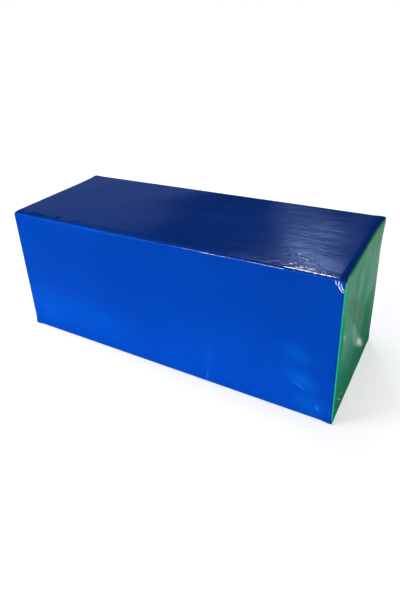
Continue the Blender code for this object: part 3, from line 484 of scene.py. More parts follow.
def crowned(p):
    """Points of the flat-sided block, moved out with the crown of the faces near them."""
    x, y, z = p[..., 0], p[..., 1], p[..., 2]
    along, across = swell(x / HALF_X), swell(y / HALF_Y)
    upward = swell(2 * z / TOP_Z - 1)
    above = swell(2 * (z - ZIP_GUTTER_TOP) / (TOP_Z - ZIP_GUTTER_TOP) - 1)
    above = np.where(z > ZIP_GUTTER_TOP, above, 0.0)

    def near(distance):
        return np.maximum(0.0, 1.0 - np.maximum(0.0, distance) / CROWN_REACH)

    # The top bends at a crease near each end and slopes evenly down to the seam. Along the
    # front the crease wanders, and it comes closer to the seam towards the right end
    wander = eased(x, *WANDER) * waves(x, 0 * x, *CREASE_WAVES)
    front_crease = np.maximum(LEAST_CREASE, eased(x, *FRONT_CREASE) * (1 + wander))
    dip = END_DIP * bent(HALF_X - np.abs(x), END_CREASE)
    dip = dip + eased(x, *FRONT_SLOPE) * front_crease * bent(HALF_Y + y, front_crease)
    dip = dip * np.maximum(0.0, 1.0 - (TOP_Z - z) / END_DIP_DEPTH)
    # The front right corner is sewn a little low, which puckers the front below it, and the
    # upper rear corners are pulled out
    away = ((HALF_X - x) ** 2 + (HALF_Y + y) ** 2 + (TOP_Z - z) ** 2) / SINK_REACH**2
    rear_top = np.exp(-(((HALF_Y - y) / PULL_REACH) ** 2) - ((TOP_Z - z) / PULL_REACH) ** 2)
    side = near(HALF_X - x) - near(HALF_X + x)
    moved = p.copy()
    moved[..., 0] += (CROWN * across * upward + CORNER_PULL * rear_top) * side
    moved[..., 1] += CROWN * along * (above * near(HALF_Y - y) - upward * near(HALF_Y + y))
    moved[..., 2] += CROWN * along * across * near(TOP_Z - z) - dip - CORNER_SINK * np.exp(-away)
    return moved


def edge_radius(spot):
    """The edges' radius at each spot: tighter where three seams pull a corner to a point."""
    x, y, z = spot[..., 0], spot[..., 1], spot[..., 2]
    apart = np.maximum(np.maximum(HALF_X - np.abs(x), HALF_Y - np.abs(y)), np.minimum(z, TOP_Z - z))
    pointed = np.where((x < 0) & (y < 0) & (z > TOP_Z / 2), 0.0, CORNER_POINT)
    return EDGE_RADIUS * (1 - pointed * (1 - smooth(apart, *POINT_REACH)))


def on_cover(spot):
    """The rounded block's points and normals for spots on the sharp-edged block."""
    r = edge_radius(spot)[..., None]
    size = np.array([HALF_X, HALF_Y, TOP_Z])
    low = np.array([-HALF_X, -HALF_Y, 0.0]) + r
    core = np.clip(spot, low, size - r)
    lean = np.clip((spot - core) / r, -1.0, 1.0)
    normal = np.tan(EDGE_SCALE * lean)
    normal /= np.linalg.norm(normal, axis=-1, keepdims=True)
    return core + normal * r, normal


# Waves and folds of the cloth, as heights over a panel's two directions

def waves(u, v, seed, height, long, across, count, turn=0):
    """A random sum of waves with lengths from long[0] to long[1] one way, and across the other."""
    rng = np.random.default_rng(seed)
    angle = math.radians(turn)
    u, v = u * math.cos(angle) + v * math.sin(angle), v * math.cos(angle) - u * math.sin(angle)
    total = np.zeros_like(u)
    for _ in range(count):
        a = 1 / rng.uniform(*long) * rng.choice([-1.0, 1.0])
        b = 1 / rng.uniform(*across)
        phase = rng.uniform(0, 2 * math.pi)
        total += np.sin(2 * math.pi * (a * u + b * v) + phase)
    return height * total / math.sqrt(count / 2)


def patch(u, v, centre, size):
    """A soft spot, 1 in its middle."""
    return np.exp(-(((u - centre[0]) / size[0]) ** 2) - ((v - centre[1]) / size[1]) ** 2)


def fold(u, v, start, end, bend, width, height):
    """A ridge, or a crease where height is negative, along an arc between two places."""
    dx, dy = end[0] - start[0], end[1] - start[1]
    length = math.hypot(dx, dy)
    s = ((u - start[0]) * dx + (v - start[1]) * dy) / length**2
    off = (-(u - start[0]) * dy + (v - start[1]) * dx) / length
    off = off - bend * 4 * s * (1 - s)
    inside = np.clip(s, 0.0, 1.0)
    beyond = np.abs(s - inside) * length
    trough, broad = FOLD_TROUGH
    shape = np.exp(-(off / width) ** 2) - trough * np.exp(-(off / (broad * width)) ** 2)
    shape *= np.exp(-(beyond / (FOLD_FADE * width)) ** 2)
    return height * shape * (FOLD_ENDS + (1 - FOLD_ENDS) * np.sin(math.pi * inside))


def folds(u, v, rows):
    return sum(fold(u, v, *row) for row in rows)


def scattered(u, v, seed, count, centre, spread, length, width, height, turn):
    """Many short ridges and creases round a centre, all running about the same way."""
    rng = np.random.default_rng(seed)
    total = np.zeros_like(u)
    for _ in range(count):
        x, y = rng.normal(centre, spread)
        half = rng.uniform(*length) / 2
        angle = math.radians(turn + rng.normal(0.0, RIDGE_SPREAD))
        dx, dy = half * math.cos(angle), half * math.sin(angle)
        rise = rng.uniform(*height) * rng.choice(RIDGE_SIGNS)
        bend = rng.uniform(*RIDGE_BENDS) * half
        total += fold(u, v, (x - dx, y - dy), (x + dx, y + dy), bend, rng.uniform(*width), rise)
    return total


def top_relief(x, y, fade):
    """Slow waves all over, and fine wrinkles that run along the block at its right end."""
    right = smooth(x, *TOP_RIGHT_X) * eased(x, *TOP_CALM)
    patchy = TOP_EVEN + waves(x, y, *TOP_PATCHY)
    fine = np.stack([waves(x, y, *TOP_FINE), waves(x, y, *TOP_FINER)], -1)
    height = waves(x, y, *TOP_SLOW) + smooth(x, *TOP_LEFT_X) * waves(x, y, *TOP_LEFT)
    height += right * (waves(x, y, *TOP_BROAD) + patchy * (fine @ TOP_FINE_HEIGHTS))
    height += patch(x, y, *TOP_CORNER) * (fine @ TOP_CORNER_HEIGHTS)
    for row in TOP_RIDGES:
        height += scattered(x, y, *row)
    return (height + folds(x, y, TOP_FOLDS)) * fade


def front_relief(x, z, fade):
    """Slow waves, short ones that hang from the top seam and lie at the right, and folds."""
    height = waves(x, z, *FRONT_SLOW) + waves(x, z, *FRONT_PULL) * smooth(z, *FRONT_PULL_Z)
    height += waves(x, z, *FRONT_SIDE) * smooth(x, *FRONT_SIDE_X)
    height += FRONT_DIMPLE_HEIGHT * patch(x, z, *FRONT_DIMPLE)
    return height * fade + folds(x, z, FRONT_FOLDS) * np.maximum(fade, eased(x, *FRONT_EDGE))


def rear_relief(x, z, fade):
    """Slow waves, and short ones above the zip."""
    return (waves(x, z, *REAR_SLOW) + waves(x, z, *REAR_DRAG) * smooth(z, *REAR_DRAG_Z)) * fade


def end_relief(seed, mirror):
    """Upright waves, as the cloth hangs between the top seam and the base."""
    def relief(y, z, fade):
        y = y * mirror
        height = waves(y, z, seed, *END_SLOW)
        height += waves(y, z, seed + 1, *END_UPRIGHT) * smooth(z, *END_UPRIGHT_Z)
        height += waves(y, z, seed + 2, *END_LEVEL) * smooth(z, *END_LEVEL_Z)
        height += scattered(y, z, seed + 5, *END_RIDGES)
        return (height + folds(y, z, END_FOLDS)) * fade
    return relief


def no_relief(u, v, fade):
    return 0 * u


def top_polished(x, y):
    """A ragged line on the ridge beside the front seam, towards the right corner."""
    ragged = waves(x, 0 * x, *RAGGED_WAVES)
    reach = RIDGE_HALF_WIDTH * smooth(x, *RIDGE_X[0]) * smooth(x, *RIDGE_X[1])
    return np.abs(y - RIDGE_Y + RIDGE_RAGGED * ragged) < reach * (RIDGE_SWELLS[0] + RIDGE_SWELLS[1] * ragged)


def front_polished(x, z):
    """The puckers at the right corner, and a thin line along the fold under the top seam."""
    middle, half = FRONT_LINE
    reach = np.maximum(0.0, 1.0 - ((x - middle) / half) ** 2) * FRONT_LINE_HEIGHT
    below = TOP_Z - FRONT_LINE_DROP - z
    line = (below < reach) & (below > 0.0) & (reach > FRONT_LINE_LEAST)
    return line | (folds(x, z, PUCKERS) > PUCKER_HEIGHT)


# The lines of a panel's grid, from its hidden flap or hem to its face

def seam_lines():
    """(order, distance from the seam on the sharp-edged block, depth) for each line."""
    edge = SEAM_GAP / 2
    lines = [(edge - over, edge, ROLL_RADIUS + over) for over in FLAP_LINES]
    for step in range(ROLL_STEPS + 1):
        angle = math.pi / 2 * step / ROLL_STEPS
        at = edge + ROLL_RADIUS * (1 - math.cos(angle))
        lines.append((at, at, ROLL_RADIUS * (1 - math.sin(angle))))
    return [(order / EDGE_SCALE, at / EDGE_SCALE, depth) for order, at, depth in lines]


def hem_lines():
    edge, r = SEAM_GAP / 2, HEM_RADIUS
    lines = [(0.0, edge + r + HEM_WIDTH * share, 2 * r) for share in HEM_SHARES]
    for step in range(HEM_STEPS + 1):
        angle = math.pi * (step / HEM_STEPS - 0.5)
        lines.append((0.0, edge + r - r * math.cos(angle), r - r * math.sin(angle)))
    return lines


def line_places(low, high, kinds, cell):
    """A panel's lines one way: order, distance from their side, depth, and side."""
    starts = [seam_lines() if kind == "seam" else hem_lines() for kind in kinds]
    first, last = starts[0][-1][1], starts[1][-1][1]
    span = high - low
    places = [first]
    while places[-1] < span - last:
        at = places[-1]
        near = min(at - first, span - last - at)
        size = cell(low + at) if callable(cell) else cell
        places.append(at + min(size, FINEST_CELL + CELL_GROWTH * max(0.0, near)))
    scale = (span - last - first) / (places[-1] - first)
    rows = [(*line, 0) for line in starts[0]]
    for at in places[1:-1]:
        at = first + (at - first) * scale
        rows.append((at, at, 0.0, 0) if at < span / 2 else (span - at, span - at, 0.0, 1))
    rows += [(*line, 1) for line in reversed(starts[1])]
    return [np.array(column) for column in zip(*rows)]


def panel_grid(u_range, v_range, v_kinds, cells):
    """The two places of each grid point on the sharp-edged block, and its depth under the face.

    Where two sewn sides meet, the lines beside them run round the corner.
    """
    u_lines = line_places(*u_range, SEAMS, cells[0])
    v_lines = line_places(*v_range, v_kinds, cells[1])
    shape = (len(u_lines[0]), len(v_lines[0]))
    order_u, off_u, depth_u, side_u = (np.broadcast_to(line[:, None], shape) for line in u_lines)
    order_v, off_v, depth_v, side_v = (np.broadcast_to(line[None, :], shape) for line in v_lines)
    sewn = np.array([kind == "seam" for kind in v_kinds])[side_v]
    rounded = sewn & (order_u < CORNER_ROUND) & (order_v < CORNER_ROUND)
    reach_u, reach_v = CORNER_ROUND - order_u, CORNER_ROUND - order_v
    u_outer = reach_u >= reach_v
    outer = np.where(u_outer, reach_u, reach_v)
    share = np.where(u_outer, reach_v, reach_u) / np.where(rounded, outer, 1.0)
    angle = math.pi / 4 * np.clip(share, 0.0, 1.0)
    radius = CORNER_ROUND - np.where(u_outer, off_u, off_v)
    main, minor = CORNER_ROUND - radius * np.cos(angle), CORNER_ROUND - radius * np.sin(angle)
    off_u = np.where(rounded, np.where(u_outer, main, minor), off_u)
    off_v = np.where(rounded, np.where(u_outer, minor, main), off_v)
    depth = np.where(rounded, np.where(u_outer, depth_u, depth_v), depth_u + depth_v)
    u = np.where(side_u == 0, u_range[0] + off_u, u_range[1] - off_u)
    v = np.where(side_v == 0, v_range[0] + off_v, v_range[1] - off_v)

    # Flaps get shallow near the corners, where three panels meet
    over = np.maximum(0.0, depth - ROLL_RADIUS)
    along = np.where(depth_u > depth_v, off_v, off_u)
    return u, v, depth - over * (1 - CORNER_FLAP) * (1 - smooth(along, *FLAP_DEEPENS))


# Meshes

def placed(name, data):
    made = bpy.data.objects.new(name, data)
    bpy.context.scene.collection.objects.link(made)
    return made


def shell(name, points, inner, marks):
    """A closed thin mesh from two grids of points; marks are the material numbers of its cells."""
    rows, columns = points.shape[:2]
    count = rows * columns
    index = np.arange(count).reshape(rows, columns)
    quads = np.stack([index[:-1, :-1], index[1:, :-1], index[1:, 1:], index[:-1, 1:]], -1).reshape(-1, 4)
    rim = np.concatenate([index[0, :], index[1:, -1], index[-1, :-1][::-1], index[1:-1, 0][::-1]])
    after = np.roll(rim, -1)
    edge = np.stack([rim, after, after + count, rim + count], -1)
    faces = np.concatenate([quads, quads[:, ::-1] + count, edge])
    mesh = bpy.data.meshes.new(name)
    both = np.concatenate([points.reshape(-1, 3), inner.reshape(-1, 3)])
    mesh.from_pydata(both.tolist(), [], faces.tolist())
    work = bmesh.new()
    work.from_mesh(mesh)
    if work.calc_volume(signed=True) < 0:
        bmesh.ops.reverse_faces(work, faces=work.faces)
    bmesh.ops.recalc_face_normals(work, faces=work.faces)
    work.to_mesh(mesh)
    work.free()
    mesh.shade_smooth()
    cells = marks.reshape(-1)
    numbers = np.concatenate([cells, cells, np.zeros(len(edge), int)])
    mesh.polygons.foreach_set("material_index", numbers.astype(np.int32))
    return placed(name, mesh)


def grid_normals(points):
    normal = np.cross(np.gradient(points, axis=0), np.gradient(points, axis=1))
    return normal / np.maximum(1e-12, np.linalg.norm(normal, axis=-1, keepdims=True))


def panel(name, axis, at, u_range, v_range, cells, relief, v_kinds=SEAMS, polished=None, faded=None):
    """A cover panel on the face at one place along an axis, with relief as its wrinkles.

    Its rolled edges take its second and third materials, which are mostly its colour painted
    lighter as light on the folds, and what polished(u, v) marks its fourth. faded(u) is the
    width of the rolled edges along u, where that isn't even.
    """
    u, v, depth = panel_grid(u_range, v_range, v_kinds, cells)
    point, normal = on_cover(np.insert(np.stack([u, v], -1), axis, at, -1))
    outer = crowned(point - normal * depth[..., None])
    u_edge = np.minimum(u - u_range[0], u_range[1] - u)
    v_edge = np.minimum(v - v_range[0], v_range[1] - v)
    fade = smooth(u_edge, *WRINKLES_RISE) * smooth(v_edge, *WRINKLES_RISE)
    height = np.where(depth > WRINKLED_DEPTH, 0.0, relief(u, v, fade))
    outer = outer + normal * height[..., None]
    facing = grid_normals(outer)
    middle = (u.shape[0] // 2, u.shape[1] // 2)
    if facing[middle] @ normal[middle] < 0:
        facing = -facing
    marks = np.where(v_edge < (faded(u) if faded else EDGE_PAINT_BAND), 2, 0)
    marks = np.where(u_edge < EDGE_PAINT_BAND, 1, marks)
    if polished:
        marks = np.where(polished(u, v), 3, marks)
    return shell(name, outer, outer - facing * FABRIC, np.maximum(marks[:-1, :-1], marks[1:, 1:]))


def rings_round(line, one, other, sides):
    """Rings of points round a line; one and other are the two radii that span each ring."""
    turns = 2 * math.pi * np.arange(sides)[:, None] / sides
    return line[:, None] + one[:, None] * np.cos(turns) + other[:, None] * np.sin(turns)


def tube_faces(count, sides, first=0, closed=False):
    """A tube's faces through rings of points; it is capped unless it closes on itself."""
    faces = []
    for k in range(count if closed else count - 1):
        a, b = first + k * sides, first + (k + 1) % count * sides
        for s in range(sides):
            t = (s + 1) % sides
            faces.append((a + s, a + t, b + t, b + s))
    if not closed:
        faces.append(tuple(first + s for s in range(sides))[::-1])
        faces.append(tuple(first + (count - 1) * sides + s for s in range(sides)))
    return faces


def swept(name, rings, closed=False):
    return mesh_piece(name, rings.reshape(-1, 3), tube_faces(*rings.shape[:2], closed=closed))


def mesh_piece(name, points, faces):
    mesh = bpy.data.meshes.new(name)
    mesh.from_pydata(points.tolist(), [], faces)
    work = bmesh.new()
    work.from_mesh(mesh)
    bmesh.ops.recalc_face_normals(work, faces=work.faces)
    work.to_mesh(mesh)
    work.free()
    mesh.shade_smooth()
    mesh.set_sharp_from_angle(angle=math.radians(SHARP_ANGLE))
    return placed(name, mesh)


# Materials, all from nodes

def feed(tree, node, inputs):
    """Sets a node's inputs, or links them to other nodes' outputs."""
    for key, value in inputs.items():
        if isinstance(value, bpy.types.NodeSocket):
            tree.links.new(value, node.inputs[key])
        else:
            node.inputs[key].default_value = value


def add(tree, kind, inputs=None, **settings):
    node = tree.nodes.new(kind)
    for key, value in settings.items():
        setattr(node, key, value)
    feed(tree, node, inputs or {})
    return node


def principled(name):
    """A new material, its nodes, its shader, and its places in the object's own frame."""
    made = bpy.data.materials.new(name)
    made.use_nodes = True
    tree = made.node_tree
    coords = add(tree, "ShaderNodeTexCoord").outputs["Object"]
    return made, tree, tree.nodes["Principled BSDF"], coords


def noise_at(tree, vector, scale, detail=3.0):
    inputs = {"Vector": vector, "Scale": scale, "Detail": detail}
    return add(tree, "ShaderNodeTexNoise", inputs).outputs["Fac"]


def wave_at(tree, vector, scale, distortion, axis, detail=2.0):
    inputs = {"Vector": vector, "Scale": scale, "Distortion": distortion, "Detail": detail}
    return add(tree, "ShaderNodeTexWave", inputs, bands_direction=axis).outputs["Fac"]


def mapped(tree, coords, scale, turn=0.0):
    inputs = {"Vector": coords, "Rotation": (0.0, 0.0, math.radians(turn)), "Scale": scale}
    return add(tree, "ShaderNodeMapping", inputs).outputs["Vector"]


def between(tree, value, low, high, start=0.35, end=0.65, kind="LINEAR"):
    inputs = {"Value": value, "From Min": start, "From Max": end, "To Min": low, "To Max": high}
    return add(tree, "ShaderNodeMapRange", inputs, interpolation_type=kind).outputs["Result"]


def mixed(tree, factor, a, b):
    a, b = (value if isinstance(value, bpy.types.NodeSocket) else (*value, 1.0) for value in (a, b))
    return add(tree, "ShaderNodeMix", {0: factor, 6: a, 7: b}, data_type="RGBA").outputs[2]


def math_node(tree, operation, a, b):
    return add(tree, "ShaderNodeMath", {0: a, 1: b}, operation=operation).outputs[0]


def length_of(tree, vector):
    return add(tree, "ShaderNodeVectorMath", {0: vector}, operation="LENGTH").outputs["Value"]


def bumps(tree, shader, rows):
    """Chained bumps: (height socket, strength, distance in metres)."""
    below = {}
    for height, strength, distance in rows:
        inputs = {"Height": height, "Strength": strength, "Distance": distance, **below}
        below = {"Normal": add(tree, "ShaderNodeBump", inputs).outputs["Normal"]}
    feed(tree, shader, below)


def on_front(rows):
    """Spots on the front, from rows of (x, z), (width, height), tilt and what they carry."""
    y = -BLOCK_DEPTH / 2
    return [((x, y, z), (wide, SPOT_DEPTH, high), (0, tilt, 0), *rest)
            for (x, z), (wide, high), tilt, *rest in rows]


def on_right_end(rows):
    """Spots on the right end, from rows of (y, z), (width, height), tilt and what they carry."""
    x = BLOCK_LENGTH / 2
    return [((x, y, z), (SPOT_DEPTH, wide, high), (tilt, 0, 0), *rest)
            for (y, z), (wide, high), tilt, *rest in rows]


def spot_mask(tree, coords, centre, size, turn, core=0.0, ragged=0.5):
    """1 in the middle of an ellipsoid turned by so many degrees, fading to 0 at its uneven rim."""
    angles = tuple(math.radians(angle) for angle in turn)
    place = {"Vector": coords, "Location": centre, "Rotation": angles, "Scale": size}
    inside = add(tree, "ShaderNodeMapping", place, vector_type="TEXTURE").outputs["Vector"]
    uneven = math_node(tree, "MULTIPLY", noise_at(tree, inside, *SPOT_NOISE), ragged)
    uneven = math_node(tree, "SUBTRACT", uneven, 0.5 * ragged)
    share = math_node(tree, "ADD", length_of(tree, inside), uneven)
    return between(tree, share, 1.0, 0.0, core, 1.0, "SMOOTHSTEP")


# Paints light, shade and reflections into a colour, one spot after another
def painted_over(tree, coords, base, painted_light):
    for *spot, painted_colour, amount in painted_light:
        share = math_node(tree, "MULTIPLY", spot_mask(tree, coords, *spot), amount)
        base = mixed(tree, share, base, painted_colour)
    return base


def coat_weight(tree, coords, shiny):
    weight = None
    for *spot, amount in shiny:
        here = math_node(tree, "MULTIPLY", spot_mask(tree, coords, *spot, *SHINE_RIM), amount)
        weight = math_node(tree, "MAXIMUM", weight, here) if weight else here
    return weight


def fine_creases(tree, coords, centre, size, turn, length, spacing):
    """Long, thin lines across a spot, which all run the same way."""
    turned = mapped(tree, coords, (1 / length, 1 / spacing, 1.0), -turn)
    lines = between(tree, noise_at(tree, turned, 1.0, 2.0), *CREASE_LEVELS)
    return math_node(tree, "MULTIPLY", lines, spot_mask(tree, coords, centre, size, (0, 0, 0)))


def vinyl(name, colour, darker, lighter, specular, rough, axes, stretch, ior=1.5, coat=0.0,
          painted_light=(), shiny=(), shaded_low=None, creased=None):
    """Coated fabric: a smooth skin over a woven base that shows through it faintly.

    painted_light lists the spots where light, shade and reflections are painted into its colour,
    shiny those where the skin is stretched glossy, and shaded_low is the painted shade colour and
    the roughness that it fades to near the floor. creased is the spot, turn, length, spacing and
    height of creases too fine for the mesh.
    """
    made, tree, shader, coords = principled(name)
    cloudy = noise_at(tree, coords, *CLOUDS)
    streaky = noise_at(tree, mapped(tree, coords, stretch), *STREAKS)
    specks = noise_at(tree, coords, *SPECKS)
    base = mixed(tree, between(tree, cloudy, 0.0, 1.0), darker, colour)
    base = mixed(tree, between(tree, streaky, *STREAK_LEVELS), base, lighter)
    base = mixed(tree, between(tree, specks, *SPECK_LEVELS), base, darker)
    # Light, shade and reflections painted into the colour in spots
    base = painted_over(tree, coords, base, painted_light)
    roughness = between(tree, noise_at(tree, coords, *SMEARS), *rough, *SMEAR_LEVELS)
    # Towards the floor the colour is painted darker as shade, and the roughness rises
    if shaded_low:
        height = add(tree, "ShaderNodeSeparateXYZ", {"Vector": coords}).outputs["Z"]
        uneven = math_node(tree, "MULTIPLY", cloudy, LOW_SHADE_RAGGED)
        low_shade = between(tree, math_node(tree, "SUBTRACT", height, uneven), 1.0, 0.0, *LOW_SHADE_HEIGHTS)
        base = mixed(tree, low_shade, base, shaded_low[0])
        extra = math_node(tree, "MULTIPLY", low_shade, shaded_low[1] - rough[0])
        roughness = math_node(tree, "ADD", roughness, extra)
    feed(tree, shader, {
        "Base Color": base, "Roughness": roughness, "Specular IOR Level": specular, "IOR": ior,
        "Coat Weight": coat, "Coat Roughness": COAT_ROUGHNESS,
    })
    if shiny:
        feed(tree, shader, {"Coat Weight": coat_weight(tree, coords, shiny), "Coat IOR": SHINE_IOR})
    rows = [(noise_at(tree, coords, *SLACK), *SLACK_BUMP)]
    if creased:
        rows.append((fine_creases(tree, coords, *creased[:-1]), 1.0, creased[-1]))
    weave = [wave_at(tree, coords, *WEAVE, axis, 1.0) for axis in axes]
    rows.append((math_node(tree, "MAXIMUM", *weave), *WEAVE_BUMP))
    rows.append((noise_at(tree, coords, *GRAIN), *GRAIN_BUMP))
    bumps(tree, shader, rows)
    return made


def plain(name, colour, darker, rough, scale, metallic=0.0, specular=0.5, grain=(400.0, 0.2, 0.0002)):
    """A finish with a little variation of colour and roughness, and a fine grain."""
    made, tree, shader, coords = principled(name)
    patches = between(tree, noise_at(tree, coords, scale, 4.0), 0.0, 1.0)
    feed(tree, shader, {
        "Base Color": mixed(tree, patches, darker, colour),
        "Roughness": between(tree, noise_at(tree, coords, scale * 2.3), *rough),
        "Metallic": metallic, "Specular IOR Level": specular,
    })
    bumps(tree, shader, [(noise_at(tree, coords, grain[0], 2.0), *grain[1:])])
    return made


def foam_material():
    """Cut polyurethane foam: pale, matt, with fine open cells."""
    made, tree, shader, coords = principled("foam")
    cells = add(tree, "ShaderNodeTexVoronoi", {"Vector": coords, "Scale": FOAM_CELLS}).outputs["Distance"]
    # Darker towards each cell's middle, as painted shade in the pores
    colour = mixed(tree, between(tree, cells, 0.0, 1.0, 0.0, 0.5), FOAM_PORE_SHADE, FOAM_PALE)
    old = between(tree, noise_at(tree, coords, 3.0), 0.0, FOAM_AGED_SHARE)
    aged = mixed(tree, old, colour, FOAM_AGED)
    feed(tree, shader, {"Base Color": aged, "Roughness": 0.95, "Specular IOR Level": 0.2})
    bumps(tree, shader, [(cells, *FOAM_BUMP)])
    return made


def woven_material(name, colour, darker, weave):
    """Zip tape: a close herringbone, whose weave is its scale and distortion."""
    made, tree, shader, coords = principled(name)
    one = wave_at(tree, coords, *weave, "DIAGONAL")
    other = wave_at(tree, mapped(tree, coords, (-1.0, 1.0, 1.0)), *weave, "DIAGONAL")
    threads = math_node(tree, "MULTIPLY", one, other)
    fuzz = noise_at(tree, coords, *FUZZ)
    base = mixed(tree, between(tree, threads, 0.0, 1.0, 0.0, 0.7), darker, colour)
    base = mixed(tree, between(tree, fuzz, 0.0, FUZZ_SHARE), base, colour)
    feed(tree, shader, {"Base Color": base, "Roughness": 0.85, "Specular IOR Level": 0.25})
    bumps(tree, shader, [(threads, *THREADS_BUMP), (fuzz, *FUZZ_BUMP)])
    return made


# The top is the cover's blue, painted darker as shade
SHADED_TOP_BLUE = vinyl(
    "navy vinyl", (0.0012, 0.0215, 0.146), (0.0008, 0.018, 0.130), (0.004, 0.030, 0.170),
    0.45, (0.115, 0.155), "XY", (3.0, 14.0, 14.0), coat=0.12, creased=TOP_CREASES,
)
# The top's rolled edges: its painted shade made a little lighter, as light on the folds, and less glossy
SHADED_TOP_FOLD_BLUE = vinyl(
    "navy vinyl at the folds", (0.0008, 0.0250, 0.190), (0.0006, 0.021, 0.165), (0.001, 0.032, 0.215),
    0.03, (0.24, 0.34), "XY", (3.0, 14.0, 14.0),
)
# The top's shiny ridge: glossy, and its painted shade made a little lighter as highlight
SHINY_SHADED_TOP_BLUE = vinyl(
    "navy vinyl stretched shiny", (0.003, 0.030, 0.190), (0.001, 0.020, 0.150), (0.010, 0.050, 0.240),
    1.0, (0.14, 0.22), "XY", (60.0, 60.0, 60.0), ior=1.9,
)
# The front's blue carries painted glows, highlights and shade in spots
BLUE = vinyl(
    "blue vinyl", (0.0009, 0.072, 0.550), (0.0008, 0.064, 0.500), (0.0012, 0.088, 0.640),
    0.004, (0.22, 0.34), "XZ", (2.5, 2.5, 2.5), painted_light=on_front(BLUE_PAINTED_LIGHT),
)
# The blue's rolled edges, painted lighter as light on the folds
LIT_FOLD_BLUE = vinyl(
    "blue vinyl at the folds", (0.0009, 0.086, 0.62), (0.0008, 0.075, 0.55), (0.0012, 0.100, 0.70),
    0.02, (0.20, 0.30), "XZ", (2.5, 2.5, 2.5),
)
# Shiny cells on the front: glossy, and the blue painted lighter as highlight
SHINY_HIGHLIGHT_BLUE = vinyl(
    "blue vinyl stretched shiny", (0.0030, 0.100, 0.62), (0.0010, 0.075, 0.52), (0.02, 0.16, 0.75),
    1.0, (0.10, 0.18), "XZ", (40.0, 40.0, 40.0), ior=2.8,
)
# The ends' green is painted darker as shade; its spots add painted reflections, and it is painted darker
# still towards the floor as shade
SHADED_END_GREEN = vinyl(
    "green vinyl", (0.012, 0.38, 0.20), (0.008, 0.32, 0.15), (0.060, 0.45, 0.28),
    0.014, (0.26, 0.40), "YZ", (18.0, 18.0, 1.6),
    painted_light=on_right_end(GREEN_PAINTED_REFLECTIONS), shiny=on_right_end(GREEN_SHINE),
    shaded_low=((0.022, 0.265, 0.135), 0.62),
)
# The ends' upright rolled edges: the green painted much lighter, as light on the folds
LIT_FOLD_GREEN = vinyl(
    "green vinyl at the folds", (0.012, 0.88, 0.50), (0.010, 0.74, 0.40), (0.020, 0.92, 0.58),
    0.10, (0.26, 0.36), "YZ", (14.0, 14.0, 2.0),
)
TURNED_GREEN = vinyl(
    "green vinyl turned in", (0.012, 0.250, 0.100), (0.010, 0.200, 0.080), (0.018, 0.300, 0.130),
    0.02, (0.30, 0.42), "YZ", (14.0, 14.0, 2.0),
)
FOAM = foam_material()
BLUE_THREAD = plain(
    "blue thread", (0.006, 0.075, 0.46), (0.004, 0.050, 0.32), (0.55, 0.75), 500.0,
    specular=0.2,
)
GREEN_THREAD = plain("green thread", (0.02, 0.34, 0.17), (0.01, 0.25, 0.12), (0.55, 0.75), 500.0)
TAPE = woven_material("zip tape", (0.006, 0.030, 0.17), (0.002, 0.014, 0.09), (700.0, 0.6))
COIL = plain("zip coil", (0.008, 0.035, 0.19), (0.005, 0.022, 0.13), (0.30, 0.45), 200.0)
METAL = plain(
    "zip metal", (0.52, 0.52, 0.51), (0.43, 0.43, 0.42), (0.26, 0.36), 900.0, metallic=1.0,
    grain=(1800.0, 0.12, 0.00006),
)


def finish(piece, materials, node=None):
    """Gives a piece its materials and its body; node is the solid that it replaces."""
    for material in materials if isinstance(materials, tuple) else (materials,):
        piece.data.materials.append(material)
    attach(piece, "block")
    if node:
        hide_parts(node)
    return piece


# The panels

def top_cell(x):
    return TOP_END_CELL if HALF_X - abs(x) < TOP_END_REACH else np.interp(x, *TOP_CELL)


def easing(places, values):
    return lambda x: eased(x, places, values)


def cover_panel(key, materials, slot, *shape, **extras):
    return finish(panel(f"{key}_panel", *shape, **extras), materials, f"cover_{key}_panel")


BLUES = (BLUE, LIT_FOLD_BLUE, LIT_FOLD_BLUE)
GREENS = (SHADED_END_GREEN, LIT_FOLD_GREEN, TURNED_GREEN)
panels = [
    cover_panel(
        "top", (SHADED_TOP_BLUE, SHADED_TOP_FOLD_BLUE, SHADED_TOP_FOLD_BLUE, SHINY_SHADED_TOP_BLUE), "cover_navy", 2, TOP_Z, X_RANGE, Y_RANGE,
        (top_cell, TOP_ROW), top_relief, polished=top_polished, faded=easing(*TOP_PAINT_BAND),
    ),
    cover_panel("base", BLUES, "cover_blue", 2, 0.0, X_RANGE, Y_RANGE, (BASE_CELL, BASE_CELL), no_relief),
    cover_panel(
        "front", (*BLUES, SHINY_HIGHLIGHT_BLUE), "cover_blue", 1, -HALF_Y, X_RANGE, Z_RANGE,
        (easing(*FRONT_CELL), easing(*FRONT_ROW)), front_relief, polished=front_polished,
    ),
    cover_panel(
        "rear_upper", BLUES, "cover_blue", 1, HALF_Y, X_RANGE, (ZIP_HIGH, TOP_Z),
        (REAR_CELL, REAR_UPPER_ROW), rear_relief, ("hem", "seam"),
    ),
    cover_panel(
        "rear_lower", BLUES, "cover_blue", 1, HALF_Y, X_RANGE, (0.0, ZIP_LOW),
        (REAR_CELL, REAR_LOWER_ROW), no_relief, ("seam", "hem"),
    ),
    cover_panel(
        "left_end", GREENS, "cover_green", 0, -HALF_X, Y_RANGE, Z_RANGE, LEFT_CELLS,
        end_relief(LEFT_SEED, -1),
    ),
    cover_panel(
        "right_end", GREENS, "cover_green", 0, HALF_X, Y_RANGE, Z_RANGE, RIGHT_CELLS,
        end_relief(RIGHT_SEED, 1),
    ),
]


# The foam slabs, as the solids have them, with a slightly uneven cut

